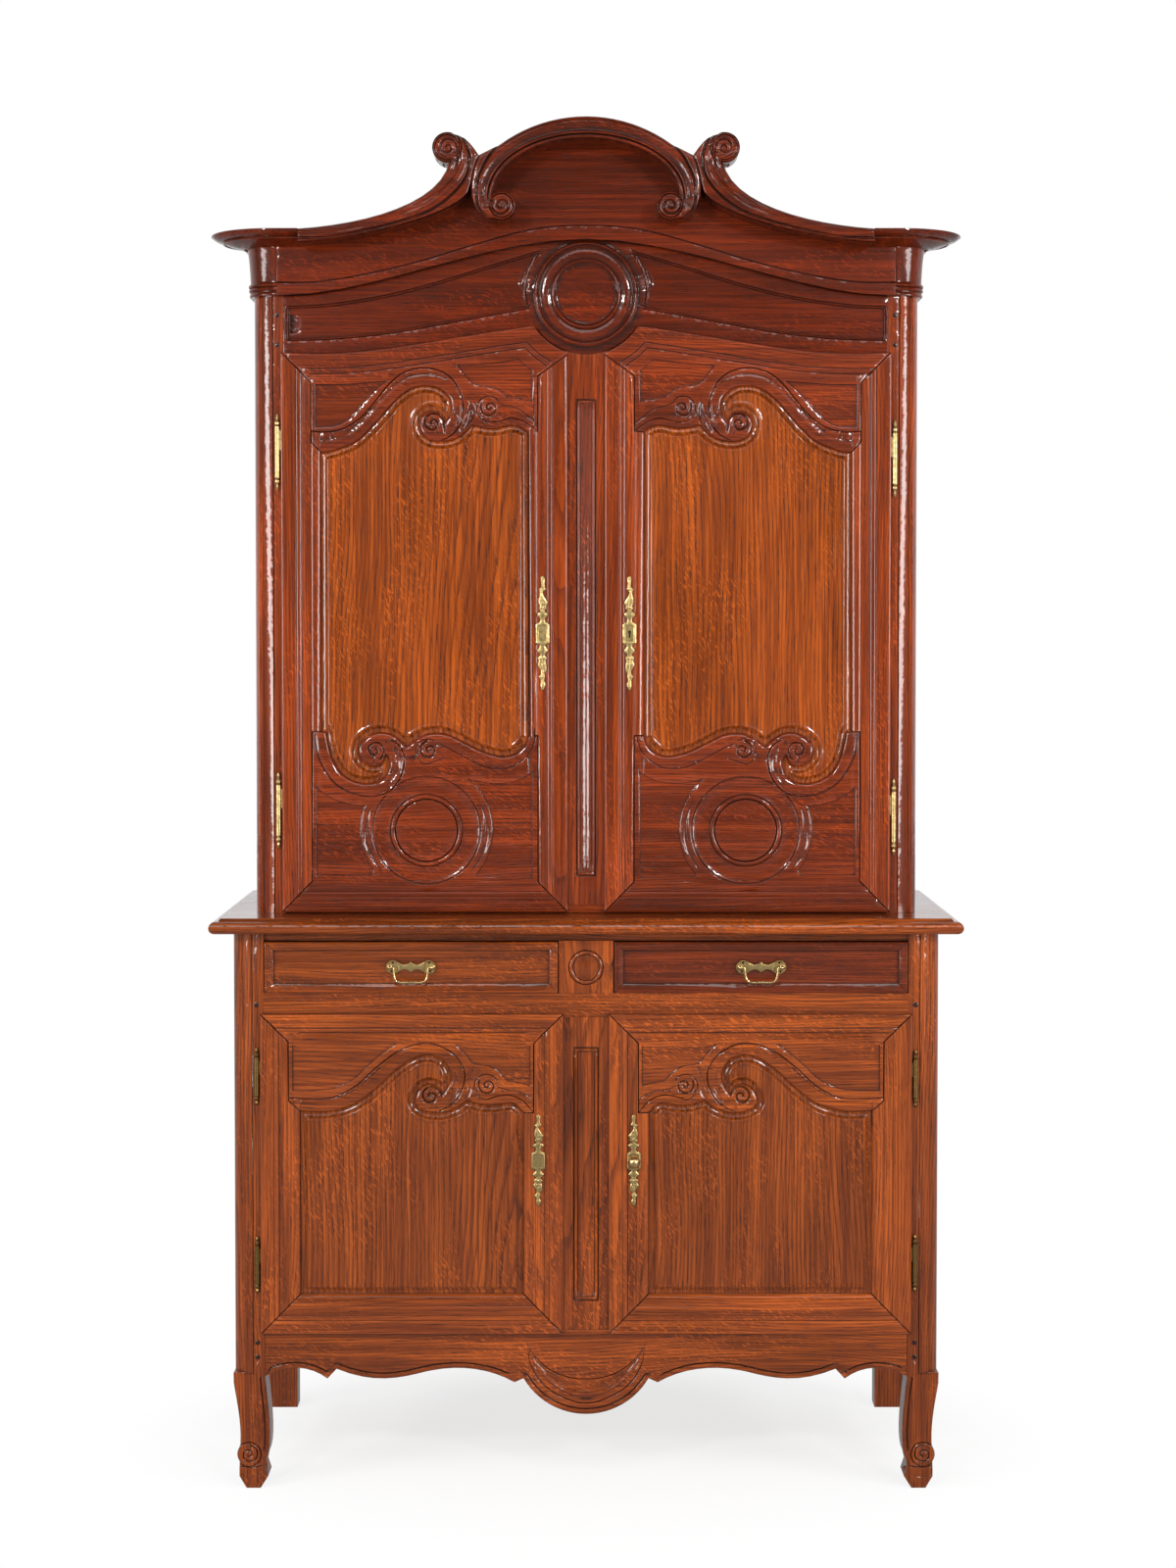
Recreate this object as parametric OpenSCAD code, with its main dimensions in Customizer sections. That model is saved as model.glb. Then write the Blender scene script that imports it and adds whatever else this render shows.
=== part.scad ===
// Two-part buffet: lower case with two drawers and two doors, upper case with two doors and a scrolled pediment.
// Millimetres. X runs left to right, Y from front to back and Z up. The floor is at Z = 0.

/* [Lower case] */
// Width of the lower case over its posts
case_w = 1300; // [1200:10:1500]
// Depth of the lower case
case_d = 590; // [520:10:640]
// Height of the table surface
table_z = 1057; // [1057:1:1120]
// Thickness of the table top
table_t = 28; // [22:1:34]
// Overhang of the table top at the front and the sides
table_over = 38; // [34:1:50]
// Width of the moulded border round that field
table_border = 20; // [16:1:28]

/* [Upper case] */
// Width of the upper case over its posts
upper_w = 1232; // [1150:2:1240]
// Step back from the lower front to the upper front
upper_set = 77; // [50:1:110]
// Height of the upper posts
upper_h = 1143; // [1143:1:1200]

/* [Posts and rails] */
// Width of a front post
post_w = 58; // [54:1:70]
// Depth of a front post
post_d = 60; // [50:1:70]
// Depth of a rear post
rear_d = 50; // [40:1:60]
// Width of a rear post
rear_w = 62; // [50:1:70]
// Radius of the rounded outer corner of a front post
post_r = 36; // [20:1:40]
// Height at which the rounded corner stops above the leg
leg_stop = 214; // [180:1:240]
// Thickness of front rails
rail_t = 28; // [24:1:34]
// Thickness of side and back rails
side_t = 25; // [22:1:30]
// Thickness of the mullions and of the door body in the opening
body_t = 20; // [18:1:24]
// Thickness of the door lip that lies over the frame
lip_t = 10; // [8:1:12]
// How far the door lip covers the frame
lip_over = 6; // [4:1:8]
// Thickness of a tenon
tenon_t = 10; // [8:1:12]
// Length of a tenon
tenon_l = 32; // [20:1:40]
// Height of the side rails of the upper case
side_rail_h = 80; // [60:2:90]
// Clearance all round a tenon or a housed board
joint_gap = 0.2; // [0.1:0.1:0.4]
// Radius of an oak peg
peg_r = 4.5; // [3:0.5:6]

/* [Apron and legs] */
// Height of the top edge of the apron rail
apron_top = 295; // [290:1:300]
// Height of the apron curve next to the post
apron_low = 208; // [204:1:216]
// Radius of the round lobe in the middle of the apron
lobe_r = 133; // [125:1:140]
// Height of the bottom of that lobe
lobe_low = 138; // [130:1:150]
// Radius of the scroll on the foot
foot_scroll_r = 22; // [18:1:24]
// Height of the centre of that scroll
foot_scroll_z = 63; // [56:1:70]

/* [Drawers] */
// Distance from the table surface down to the underside of the drawer fronts
drawer_down = 139; // [137:1:147]
// Height of a drawer front
drawer_h = 96; // [90:1:96]
// How far a drawer front stands proud of the posts
drawer_proud = 6; // [3:1:9]
// Thickness of a drawer front
drawer_front_t = 24; // [20:1:28]
// Thickness of a drawer side
drawer_side_t = 12; // [10:1:15]
// Thickness of a drawer bottom
drawer_bottom_t = 8; // [6:1:10]
// Length of a drawer side behind its front
drawer_l = 420; // [360:10:440]
// Clearance beside a drawer
drawer_gap = 1.5; // [1:0.5:3]
// Half width of the divider block between the drawers
divider_half = 50; // [44:1:60]
// Radius of the raised ring on the divider
ring_r = 31; // [26:1:34]

/* [Doors] */
// Width of a door stile
stile_w = 73; // [68:1:76]
// Half width of the lower mullion
lower_mullion_half = 48; // [44:1:52]
// Half width of the upper mullion
upper_mullion_half = 40; // [36:1:44]
// Height of the lower edge of the lower doors
lower_door_z = 289; // [286:1:292]
// Height of the bottom rail of a lower door
lower_rail_h = 80; // [70:1:90]
// Height of the lower edge of the upper doors over the table
upper_door_up = 5; // [4:1:7]
// Height of an upper door at its hinge side
upper_door_h = 1034; // [1020:1:1040]
// Thickness of a door panel
panel_t = 14; // [12:1:16]
// Thickness of a panel's tongue
tongue_t = 6; // [4:1:7]
// How far a tongue enters its groove
tongue_l = 9; // [6:1:11]
// Clearance between a door body and its opening
door_gap = 1.5; // [1:0.5:2.5]
// Clearance between parts that close face to face
seat_gap = 0.3; // [0.2:0.1:0.5]

/* [Frieze and pediment] */
// Height of the middle of the medallion over the table
medallion_up = 1147; // [1147:1:1155]
// Radius of the medallion lobe
medallion_r = 111; // [108:1:114]
// How far the medallion stands proud of the frieze
medallion_proud = 6; // [3:1:9]
// Rise of the frieze's top edge from the post to the middle
frieze_rise = 103; // [96:1:110]
// Thickness of the pediment board
ped_t = 28; // [22:1:34]
// How far the pediment board stands proud of the frieze
ped_proud = 12; // [8:1:14]
// How far the cornice stands out from the case
cornice_over = 80; // [70:1:88]
// Height of the cornice rim over the upper posts
cornice_h = 114; // [110:1:120]
// Height of the arch over the upper posts
arch_h = 316; // [305:1:325]
// Radius of the arch's outer edge
arch_r = 265; // [255:1:275]
// Half width of the space under the arch
arch_half = 171; // [165:1:176]
// Radius of the free scrolls of the pediment
scroll_r = 27.5; // [24:0.5:29]
// Radius of the scrolls that end the arch
arch_scroll_r = 25; // [22:0.5:26]

/* [Shelves and boards] */
// Thickness of floors, roof and shelves
board_t = 18; // [15:1:22]
// Thickness of side panels and back boards
thin_t = 12; // [10:1:14]
// Number of back boards in each case
back_boards = 5; // [3:1:8]
// Height of the lower shelf
lower_shelf_z = 580; // [500:1:640]
// Heights of the upper shelves over the table
upper_shelf_up = [370, 715];
// Side of a shelf batten
batten = 20; // [15:1:26]
// Radius of a dowel between the two cases
dowel_r = 8; // [6:1:10]
// Radial clearance of moving pins and of the dowels
pin_gap = 0.08; // [0.05:0.01:0.1]

/* [Hardware] */
// Outer radius of a hinge barrel
barrel_r = 4.6; // [4:0.1:4.9]
// Radius of a hinge pin
pin_r = 2.5; // [2:0.1:3]
// Distance from the door's edge to the hinge axis
hinge_out = 7; // [6:0.5:8]
// Distance from the case front to the hinge axis
hinge_fwd = 5.3; // [5.2:0.1:6]
// Length of an upper door's hinge barrel
upper_barrel = 88; // [70:1:100]
// Length of a lower door's hinge barrel
lower_barrel = 66; // [50:1:80]
// Length of a turned hinge finial, upper doors
upper_finial = 28; // [20:1:32]
// Length of a turned hinge finial, lower doors
lower_finial = 21; // [16:1:26]
// Thickness of a hinge leaf
leaf_t = 2; // [1.5:0.5:3]
// Heights of the upper left hinges over the table
upper_left_hinges = [192, 855];
// Heights of the upper right hinges over the table
upper_right_hinges = [180, 843];
// Distances of the lower left hinges from the door's lower and upper edges
lower_left_in = [128, 115];
// Distances of the lower right hinges from the door's lower and upper edges
lower_right_in = [131, 119];
// Height of an upper escutcheon
upper_plate_h = 212; // [190:1:230]
// Height of a lower escutcheon
lower_plate_h = 170; // [150:1:190]
// Thickness of brass plates
plate_t = 1.5; // [1:0.5:2]
// Distance of the upper escutcheons from the middle
upper_plate_x = 80.5; // [78:0.5:84]
// Distance of the lower escutcheons from the middle
lower_plate_x = 87.7; // [85:0.1:90]
// Height of the middle of the upper escutcheons over the table
upper_plate_up = 520; // [460:1:560]
// Height of the middle of the lower escutcheons over the door's lower edge
lower_plate_up = 321; // [270:1:350]
// Radius of the ball knob
knob_r = 11.5; // [9:0.5:13]
// Length of the neck between the escutcheon and the ball
knob_neck = 1.5; // [1:0.5:3]
// Radius of the knob's shaft
shaft_r = 4; // [3:0.5:5]
// Distance between the middles of a pull's bosses
boss_gap = 77; // [70:1:84]
// Radius of a pull's boss
boss_r = 7; // [6:0.5:8]
// Radius of the bail's rod
bail_r = 2; // [1.5:0.1:2.4]
// Clearance between a bail's legs and the bosses
bail_gap = 0.5; // [0.3:0.1:1.5]
// Drop of the bail below its bosses
bail_drop = 30; // [24:1:34]
// Travel of the lock's bolt
bolt_travel = 12; // [8:1:14]

/* [Hidden] */
$fn = 48;

oak = "#96552f";
oak_dark = "#6e3519";
oak_inside = "#a87748";
brass = "#a8884c";

// Planes of the fronts and the back, from the depth with its overhang
back_y = (case_d + table_over) / 2;
low_y = back_y - case_d;
up_y = low_y + upper_set;
case_half = case_w / 2;
up_half = upper_w / 2;
under_z = table_z - table_t;
up_z = table_z + seat_gap;
post_top = table_z + upper_h;
rear_y = back_y - rear_d;
low_open = case_half - post_w;
up_open = up_half - post_w;
mullion_t = body_t + 0.5;
cut = 1;

// Front openings and the drawers above them
drawer_z = table_z - drawer_down;
rail_under_z = drawer_z - 44;
drawer_top = drawer_z + drawer_h;
runner_t = 20;
top_rail_set = 8;
floor_t = 15;
up_floor_z = table_z + 1;
up_floor_top = up_floor_z + floor_t;
medallion_z = table_z + medallion_up;
lower_plate_z = lower_door_z + lower_plate_up;
up_rail_mid = table_z + upper_h / 2;

// Door outlines: the lip lies over the frame and the body stands in the opening
low_out = low_open + lip_over;
low_in = lower_mullion_half - lip_over;
low_top = rail_under_z + lip_over;
up_out = up_open + lip_over;
up_in = upper_mullion_half - lip_over;
up_door_z = table_z + upper_door_up;
up_door_top = up_door_z + upper_door_h;
low_axis = low_out + hinge_out;
lower_left_hinges = [lower_door_z + lower_left_in[0], low_top - lower_left_in[1]];
lower_right_hinges = [lower_door_z + lower_right_in[0], low_top - lower_right_in[1]];
up_axis = up_out + hinge_out;

// Heights that side and back rails span, and the panels between them
low_spans = [[leg_stop, apron_top], [drawer_z - runner_t, under_z]];
low_panels = [[apron_top, drawer_z - runner_t]];
up_spans = [
  [up_z, table_z + side_rail_h], [up_rail_mid - side_rail_h / 2, up_rail_mid + side_rail_h / 2],
  [post_top - side_rail_h, post_top]
];
up_panels = [[up_spans[0][1], up_spans[1][0]], [up_spans[1][1], up_spans[2][0]]];

// Front tenons as bottom, top and front face
tenon_in = 8;
low_tenons = [
  [apron_low + 24, apron_top - 14, low_y + tenon_in],
  [rail_under_z + 10, drawer_z - 6, low_y + tenon_in],
  [drawer_top + 3, under_z - 3, low_y + top_rail_set + tenon_in]
];
up_tenons = [[up_door_top + 10, post_top - 12, up_y + tenon_in]];

// Helpers: a box between limits, a plate parallel to the front, rods, mirrored pairs and curves
module box(x0, x1, y0, y1, z0, z1) {
  translate([x0, y0, z0]) cube([x1 - x0, y1 - y0, z1 - z0]);
}
module plate(y, t) {
  translate([0, y + t, 0]) rotate([90, 0, 0]) linear_extrude(t) children();
}
module rod_x(x0, x1, y, z, r) {
  translate([x0, y, z]) rotate([0, 90, 0]) cylinder(h = x1 - x0, r = r);
}
module rod_y(x, z, y0, y1, r) {
  translate([x, y1, z]) rotate([90, 0, 0]) cylinder(h = y1 - y0, r = r);
}
module pair() {
  children();
  mirror([1, 0, 0]) children();
}
function curve(a, b, c, d, n = 8) = [
  for (i = [0 : n])
    let (t = i / n, s = 1 - t)
      s * s * s * a + 3 * s * s * t * b + 3 * s * t * t * c + t * t * t * d
];
function arc(x, z, r, from, to, n = 8) = [
  for (i = [0 : n])
    let (a = from + (to - from) * i / n)
      [x + r * cos(a), z + r * sin(a)]
];
function flipped(points) = [for (i = [len(points) - 1 : -1 : 0]) [-points[i][0], points[i][1]]];
// A shape grown sideways, up and down
module grown(g) {
  for (d = [[0, 0], [g, 0], [-g, 0], [0, g], [0, -g]]) translate(d) children();
}

// Joinery shared by both cases
rear_tenon_l = 24;
tenon_shoulder = 14;
module front_tenons(list, half, grow) {
  for (t = list)
    pair()
      box(-half - tenon_l - grow, -half + cut, t[2] - grow, t[2] + tenon_t + grow, t[0] - grow, t[1] + grow);
}
module side_tenons(half, front, spans, grow) {
  x = half - side_t / 2;
  for (s = spans)
    box(-x - tenon_t / 2 - grow, -x + tenon_t / 2 + grow, front + post_d - tenon_l - grow,
      rear_y + tenon_l + grow, s[0] + tenon_shoulder - grow, s[1] - tenon_shoulder + grow);
}
module side_panel(half, front, spans, grow) {
  x = half - side_t / 2;
  for (s = spans)
    box(-x - thin_t / 2 - grow, -x + thin_t / 2 + grow, front + post_d - tongue_l - grow,
      rear_y + tongue_l + grow, s[0] - tongue_l - grow, s[1] + tongue_l + grow);
}
module back_tenons(half, spans, grow) {
  y = back_y - side_t / 2;
  w = half - rear_w + rear_tenon_l;
  for (s = [spans[0], spans[len(spans) - 1]])
    box(-w - grow, w + grow, y - tenon_t / 2 - grow, y + tenon_t / 2 + grow,
      s[0] + tenon_shoulder - grow, s[1] - tenon_shoulder + grow);
}
// Back boards between the first and the last rail, and the groove that holds them
module back_run(half, spans, count, grow) {
  y = back_y - side_t / 2;
  w = half - rear_w + tongue_l;
  step = 2 * w / count;
  for (i = [0 : count - 1])
    box(-w + i * step - grow, -w + (i + 1) * step + (i < count - 1 ? -cut : grow),
      y - thin_t / 2 - grow, y + thin_t / 2 + grow,
      spans[0][1] - tongue_l - grow, spans[len(spans) - 1][0] + tongue_l + grow);
}
module side_rails(half, front, spans, panels) {
  difference() {
    union() {
      for (s = spans) box(-half, -half + side_t, front + post_d, rear_y, s[0], s[1]);
      side_tenons(half, front, spans, 0);
    }
    side_panel(half, front, panels, joint_gap);
  }
}
module back_rails(half, spans) {
  w = half - rear_w;
  difference() {
    union() {
      for (s = [spans[0], spans[len(spans) - 1]]) box(-w, w, back_y - side_t, back_y, s[0], s[1]);
      back_tenons(half, spans, 0);
    }
    back_run(half, spans, 1, joint_gap);
  }
}
module rear_post(half, bottom, top, front, spans, panels) {
  difference() {
    box(-half, -half + rear_w, rear_y, back_y, bottom, top);
    side_tenons(half, front, spans, joint_gap);
    side_panel(half, front, panels, joint_gap);
    back_tenons(half, spans, joint_gap);
    back_run(half, spans, 1, joint_gap);
  }
}
// Battens along the sides under the shelves
module battens(half, front, tops) {
  for (z = tops)
    pair()
      box(-half + side_t, -half + side_t + batten, front + post_d, rear_y, z - board_t - batten, z - board_t);
}
module shelf(half, front, z) {
  x = half - side_t - joint_gap;
  box(-x, x, front + post_d + joint_gap, rear_y - joint_gap, z - board_t, z);
}
// A floor let into the rails round it and notched round the posts
house_l = 5;
module housed_floor(half, open, front, y0, z0, z1, grow) {
  x = half - side_t + house_l;
  difference() {
    box(-x - grow, x + grow, y0, back_y - side_t + house_l + grow, z0 - grow, z1 + grow);
    pair() {
      box(-half - cut, -open + joint_gap, front - cut, front + post_d + joint_gap, z0 - cut, z1 + cut);
      box(-half - cut, -half + rear_w + joint_gap, rear_y - joint_gap, back_y, z0 - cut, z1 + cut);
    }
  }
}
// Section of a front post: rounded outer corner, with a quirk where the rounding ends
quirk_w = 2;
module post_section(half, front) {
  difference() {
    translate([-half, front]) square([post_w, post_d]);
    difference() {
      translate([-half - cut, front - cut]) square([post_r + cut, post_r + cut]);
      translate([-half + post_r, front + post_r]) circle(post_r);
    }
    translate([-half + post_r, front - cut]) square([quirk_w, cut + quirk_w]);
  }
}

// Hinges: a pin in the frame half, a bore in the door half, leaves let into the post and the stile
leaf_l = 28;
knuckle_gap = 0.4;
leaf_short = 4;
module hinge_finial(h) {
  r = barrel_r;
  rotate_extrude() polygon([
    [0, 0], [r, 0], [r, h * 0.1], [r * 0.6, h * 0.16], [r * 0.95, h * 0.28], [r * 0.95, h * 0.4],
    [r * 0.45, h * 0.56], [r * 0.7, h * 0.72], [r * 0.35, h * 0.9], [0, h]
  ]);
}
module post_leaf(axis, front, z, barrel, grow) {
  box(-axis - leaf_t / 2 - grow, -axis + leaf_t / 2 + grow, front - hinge_fwd - grow, front + leaf_l + grow,
    z - barrel / 2 + leaf_short - grow, z - leaf_short + grow);
}
module door_leaf(axis, front, z, barrel, grow) {
  y = front - hinge_fwd;
  box(-axis, -axis + hinge_out + leaf_l + grow, y - leaf_t / 2 - grow, y + leaf_t / 2 + grow,
    z + leaf_short - grow, z + barrel / 2 - leaf_short + grow);
}
module hinge_frame_half(axis, front, z, barrel, finial) {
  translate([-axis, front - hinge_fwd, z - barrel / 2]) {
    cylinder(h = (barrel - knuckle_gap) / 2, r = barrel_r);
    cylinder(h = barrel - 2 * leaf_short, r = pin_r);
    mirror([0, 0, 1]) hinge_finial(finial);
  }
  post_leaf(axis, front, z, barrel, 0);
}
module hinge_door_half(axis, front, z, barrel, finial) {
  y = front - hinge_fwd;
  difference() {
    union() {
      translate([-axis, y, z + knuckle_gap / 2]) cylinder(h = (barrel - knuckle_gap) / 2, r = barrel_r);
      translate([-axis, y, z + barrel / 2]) hinge_finial(finial);
      door_leaf(axis, front, z, barrel, 0);
    }
    translate([-axis, y, z - cut]) cylinder(h = barrel / 2 - leaf_short + 2 * cut, r = pin_r + pin_gap);
  }
}
module hinge_pins(axis, front, left, right, barrel, finial) {
  color(brass) {
    for (z = left) hinge_frame_half(axis, front, z, barrel, finial);
    for (z = right) mirror([1, 0, 0]) hinge_frame_half(axis, front, z, barrel, finial);
  }
}

// Lower front posts with their legs
function leg_outline() = concat(
  [[-case_half, leg_stop + cut]],
  curve([-case_half, leg_stop - 18], [-case_half + 5, leg_stop - 50], [-case_half + 14, leg_stop - 90],
    [-case_half + 12, foot_scroll_z + foot_scroll_r]),
  [[-case_half + 10, foot_scroll_z - foot_scroll_r], [-case_half + 10, 22], [-case_half + 23, 0],
    [-low_open - 9, 0], [-low_open + 5, 22], [-low_open - 1, foot_scroll_z - foot_scroll_r]],
  curve([-low_open + 2, foot_scroll_z - 8], [-low_open + 12, foot_scroll_z + 10],
    [-low_open + 10, leg_stop - 90], [-low_open, apron_low - 4]),
  [[-low_open, leg_stop + cut]]
);
module leg() {
  plate(low_y, post_d) polygon(leg_outline());
  rod_y(-low_open - 30, foot_scroll_z, low_y - 2, low_y + post_d, foot_scroll_r);
}
peg_in = 13;
low_peg_heights = [apron_low + 36, apron_top - 24, drawer_z - 22];
up_peg_heights = [post_top - 90, post_top - 35];
module pegs(open, front, heights, grow) {
  for (z = heights) rod_y(-open - peg_in, z, front - (grow > 0 ? cut : 0), front + rail_t, peg_r + grow);
}
module lower_front_post(hinges) {
  color(oak) difference() {
    union() {
      translate([0, 0, leg_stop]) linear_extrude(under_z - leg_stop) post_section(case_half, low_y);
      leg();
    }
    front_tenons(low_tenons, low_open, joint_gap);
    side_tenons(case_half, low_y, low_spans, joint_gap);
    side_panel(case_half, low_y, low_panels, joint_gap);
    pegs(low_open, low_y, low_peg_heights, joint_gap);
    for (z = hinges) post_leaf(low_axis, low_y, z, lower_barrel, joint_gap);
  }
}
module lower_front_left_post() {
  lower_front_post(lower_left_hinges);
}
module lower_front_right_post() {
  mirror([1, 0, 0]) lower_front_post(lower_right_hinges);
}
module lower_rear_posts() {
  color(oak) pair() rear_post(case_half, 0, under_z, low_y, low_spans, low_panels);
}
module lower_rails() {
  color(oak) {
    difference() {
      union() {
        pair() side_rails(case_half, low_y, low_spans, low_panels);
        back_rails(case_half, low_spans);
      }
      lower_floor(joint_gap);
    }
    battens(case_half, low_y, [lower_shelf_z]);
  }
}
module lower_side_panels() {
  color(oak) pair() side_panel(case_half, low_y, low_panels, 0);
}
module lower_back_boards() {
  color(oak_inside) back_run(case_half, low_spans, back_boards, 0);
}
module lower_floor(grow) {
  housed_floor(case_half, low_open, low_y, low_y + rail_t + joint_gap, apron_top - board_t, apron_top, grow);
}
module lower_floor_and_shelf() {
  color(oak_inside) {
    lower_floor(0);
    shelf(case_half, low_y, lower_shelf_z);
  }
}

// Rails, divider and runners round the drawers
module divider_tenon(grow) {
  box(-30 - grow, 30 + grow, low_y + tenon_in - grow, low_y + tenon_in + tenon_t + grow,
    drawer_z - 20 - grow, drawer_z + cut);
}
module mullion_tenon(y, z0, z1, grow) {
  box(-20 - grow, 20 + grow, y + 5 - grow, y + 5 + tenon_t + grow, z0 - grow, z1 + grow);
}
module lower_mullion_tenons(grow) {
  mullion_tenon(low_y, apron_top - 24, apron_top + cut, grow);
  mullion_tenon(low_y, rail_under_z - cut, rail_under_z + 18, grow);
}
module drawer_rails() {
  color(oak) difference() {
    union() {
      box(-low_open, low_open, low_y, low_y + rail_t, rail_under_z, drawer_z);
      box(-low_open, low_open, low_y + top_rail_set, low_y + top_rail_set + rail_t, drawer_top, under_z);
      front_tenons([low_tenons[1], low_tenons[2]], low_open, 0);
    }
    pair() pegs(low_open, low_y, low_peg_heights, joint_gap);
    divider_tenon(joint_gap);
    lower_mullion_tenons(joint_gap);
  }
}
ring_w = 7;
ring_up = 3;
module drawer_divider() {
  color(oak) {
    box(-divider_half, divider_half, low_y, low_y + rail_t, drawer_z, drawer_top);
    divider_tenon(0);
    difference() {
      rod_y(0, drawer_z + drawer_h / 2, low_y - ring_up, low_y + cut, ring_r);
      rod_y(0, drawer_z + drawer_h / 2, low_y - ring_up - cut, low_y, ring_r - ring_w);
    }
  }
}
guide_h = 24;
module drawer_runners() {
  back = back_y - side_t;
  wide = divider_half + 24;
  color(oak_inside) {
    pair() {
      box(-case_half + side_t, -low_open + 20, low_y + post_d, rear_y, drawer_z - runner_t, drawer_z);
      box(-case_half + side_t, -low_open, low_y + post_d, rear_y, drawer_z, drawer_z + guide_h);
    }
    box(-wide, wide, low_y + rail_t, back, drawer_z - runner_t, drawer_z);
    box(-divider_half, divider_half, low_y + rail_t, back, drawer_z, drawer_z + guide_h);
    box(-wide, wide, low_y + top_rail_set + rail_t, back, drawer_top + 1, under_z);
  }
}

// Mullions with a sunk field, and the turn buttons on their backs
button_x = 28;
button_half = 35;
button_w = 18;
button_t = 12;
button_pin_r = 2.5;
lower_button_z = lower_shelf_z - 110;
upper_button_z = table_z + upper_plate_up - 90;
field_edge = 7;
module mullion(half, front, z0, z1, field, field_z, button_z) {
  difference() {
    box(-half, half, front, front + mullion_t, z0, z1);
    difference() {
      box(-field, field, front - cut, front + 4, field_z[0], field_z[1]);
      box(-field + field_edge, field - field_edge, front, front + 5, field_z[0] + field_edge,
        field_z[1] - field_edge);
    }
    rod_y(-button_x, button_z, front + 5, front + mullion_t + cut, button_pin_r + pin_gap);
  }
}
module lower_mullion() {
  color(oak) {
    mullion(lower_mullion_half, low_y, apron_top, rail_under_z, lower_mullion_half - 25,
      [apron_top + 58, rail_under_z - 54], lower_button_z);
    lower_mullion_tenons(0);
  }
}
module turn_button(front, z) {
  y = front + mullion_t + seat_gap;
  color(oak_inside) box(-button_x - button_w / 2, -button_x + button_w / 2, y, y + button_t,
    z - button_half, z + button_half);
  color(brass) rod_y(-button_x, z, front + 6, y + button_t + 2, button_pin_r);
}
module lower_turn_button() {
  turn_button(low_y, lower_button_z);
}
module upper_turn_button() {
  turn_button(up_y, upper_button_z);
}

// Apron: waves beside the posts, a round lobe in the middle
lobe_z = lobe_low + lobe_r;
lobe_from = -150;
lobe_half = lobe_r * cos(lobe_from);
function apron_edge() = concat(
  curve([-low_open, apron_low], [-low_open + 38, apron_low + 24], [-low_open + 84, apron_low + 20],
    [-low_open + 115, apron_low - 4]),
  curve([-low_open + 132, apron_low + 14], [-low_open + 200, apron_low - 14],
    [lobe_half - 230, apron_low - 4], [lobe_half - 180, apron_low + 9]),
  curve([lobe_half - 170, apron_low + 11], [lobe_half - 115, apron_low + 22],
    [lobe_half - 60, apron_low + 14], [lobe_half - 17, apron_low - 11]),
  arc(0, lobe_z, lobe_r, lobe_from, -90, 12)
);
module apron_rail() {
  color(oak) difference() {
    union() {
      plate(low_y, rail_t) polygon(concat([[-low_open, apron_top]], apron_edge(), flipped(apron_edge()),
        [[low_open, apron_top]]));
      front_tenons([low_tenons[0]], low_open, 0);
    }
    pair() pegs(low_open, low_y, low_peg_heights, joint_gap);
    lower_mullion_tenons(joint_gap);
  }
}

// Table top: front and side profiles cross, so the edge and the raised field turn the corner in a mitre
fillet = 5;
function edge_profile(front, back) =
  let (nose = (table_t - fillet) / 2)
    concat(
      [[back, 0]],
      [for (a = [-90 : 15 : 90]) [front + nose - nose * cos(a), nose + nose * sin(a)]],
      [[front + table_border - 4, table_t - fillet], [front + table_border, table_t], [back, table_t]]
    );
module lower_top() {
  half = case_half + table_over;
  color(oak) difference() {
    translate([0, 0, under_z]) intersection() {
      translate([-half, 0, 0]) rotate([90, 0, 90]) linear_extrude(2 * half)
        polygon(edge_profile(low_y - table_over, back_y));
      translate([0, back_y, 0]) rotate([90, 0, 0]) linear_extrude(back_y - low_y + table_over)
        polygon(concat(edge_profile(-half, 0), flipped(edge_profile(-half, 0))));
    }
    dowels(0.02, cut);
  }
}
dowel_in = 20;
dowel_up = 16;
module dowels(grow, over) {
  for (y = [up_y + post_d / 2, rear_y + rear_d / 2])
    pair() translate([-up_half + 34, y, table_z - dowel_in])
      cylinder(h = dowel_in + dowel_up + over, r = dowel_r + grow);
}
module locating_dowels() {
  color(oak_inside) dowels(0, 0);
}
module lower_hinge_pins() {
  hinge_pins(low_axis, low_y, lower_left_hinges, lower_right_hinges, lower_barrel, lower_finial);
}
module lower_pegs() {
  color(oak_dark) pair() pegs(low_open, low_y, low_peg_heights, 0);
}

// Drawers, drawn on the left
drawer_x0 = -low_open + drawer_gap;
drawer_x1 = -divider_half - drawer_gap;
drawer_mid = (drawer_x0 + drawer_x1) / 2;
drawer_mid_z = drawer_z + drawer_h / 2;
front_y = low_y - drawer_proud;
side_y = front_y + drawer_front_t;
field_in = 17;
field_deep = 4;
side_house = 8;
side_in = 0.5;
bottom_up = 8;
bottom_in = 4;
module drawer_bottom(grow) {
  box(drawer_x0 + side_in + drawer_side_t - bottom_in - grow,
    drawer_x1 - side_in - drawer_side_t + bottom_in + grow,
    side_y - bottom_in - grow, side_y + drawer_l - drawer_side_t + bottom_in + grow,
    drawer_z + bottom_up - grow, drawer_z + bottom_up + drawer_bottom_t + grow);
}
module drawer_sides(grow) {
  for (x = [drawer_x0 + side_in, drawer_x1 - side_in - drawer_side_t])
    box(x - grow, x + drawer_side_t + grow, side_y - side_house - grow, side_y + drawer_l,
      drawer_z + seat_gap - grow, drawer_top - 8 + grow);
}
module drawer_front() {
  color(oak) difference() {
    box(drawer_x0, drawer_x1, front_y, side_y, drawer_z + seat_gap, drawer_top - drawer_gap);
    box(drawer_x0 + field_in, drawer_x1 - field_in, front_y - cut, front_y + field_deep,
      drawer_z + field_in, drawer_top - field_in);
    drawer_sides(joint_gap);
    drawer_bottom(joint_gap);
  }
}
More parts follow.
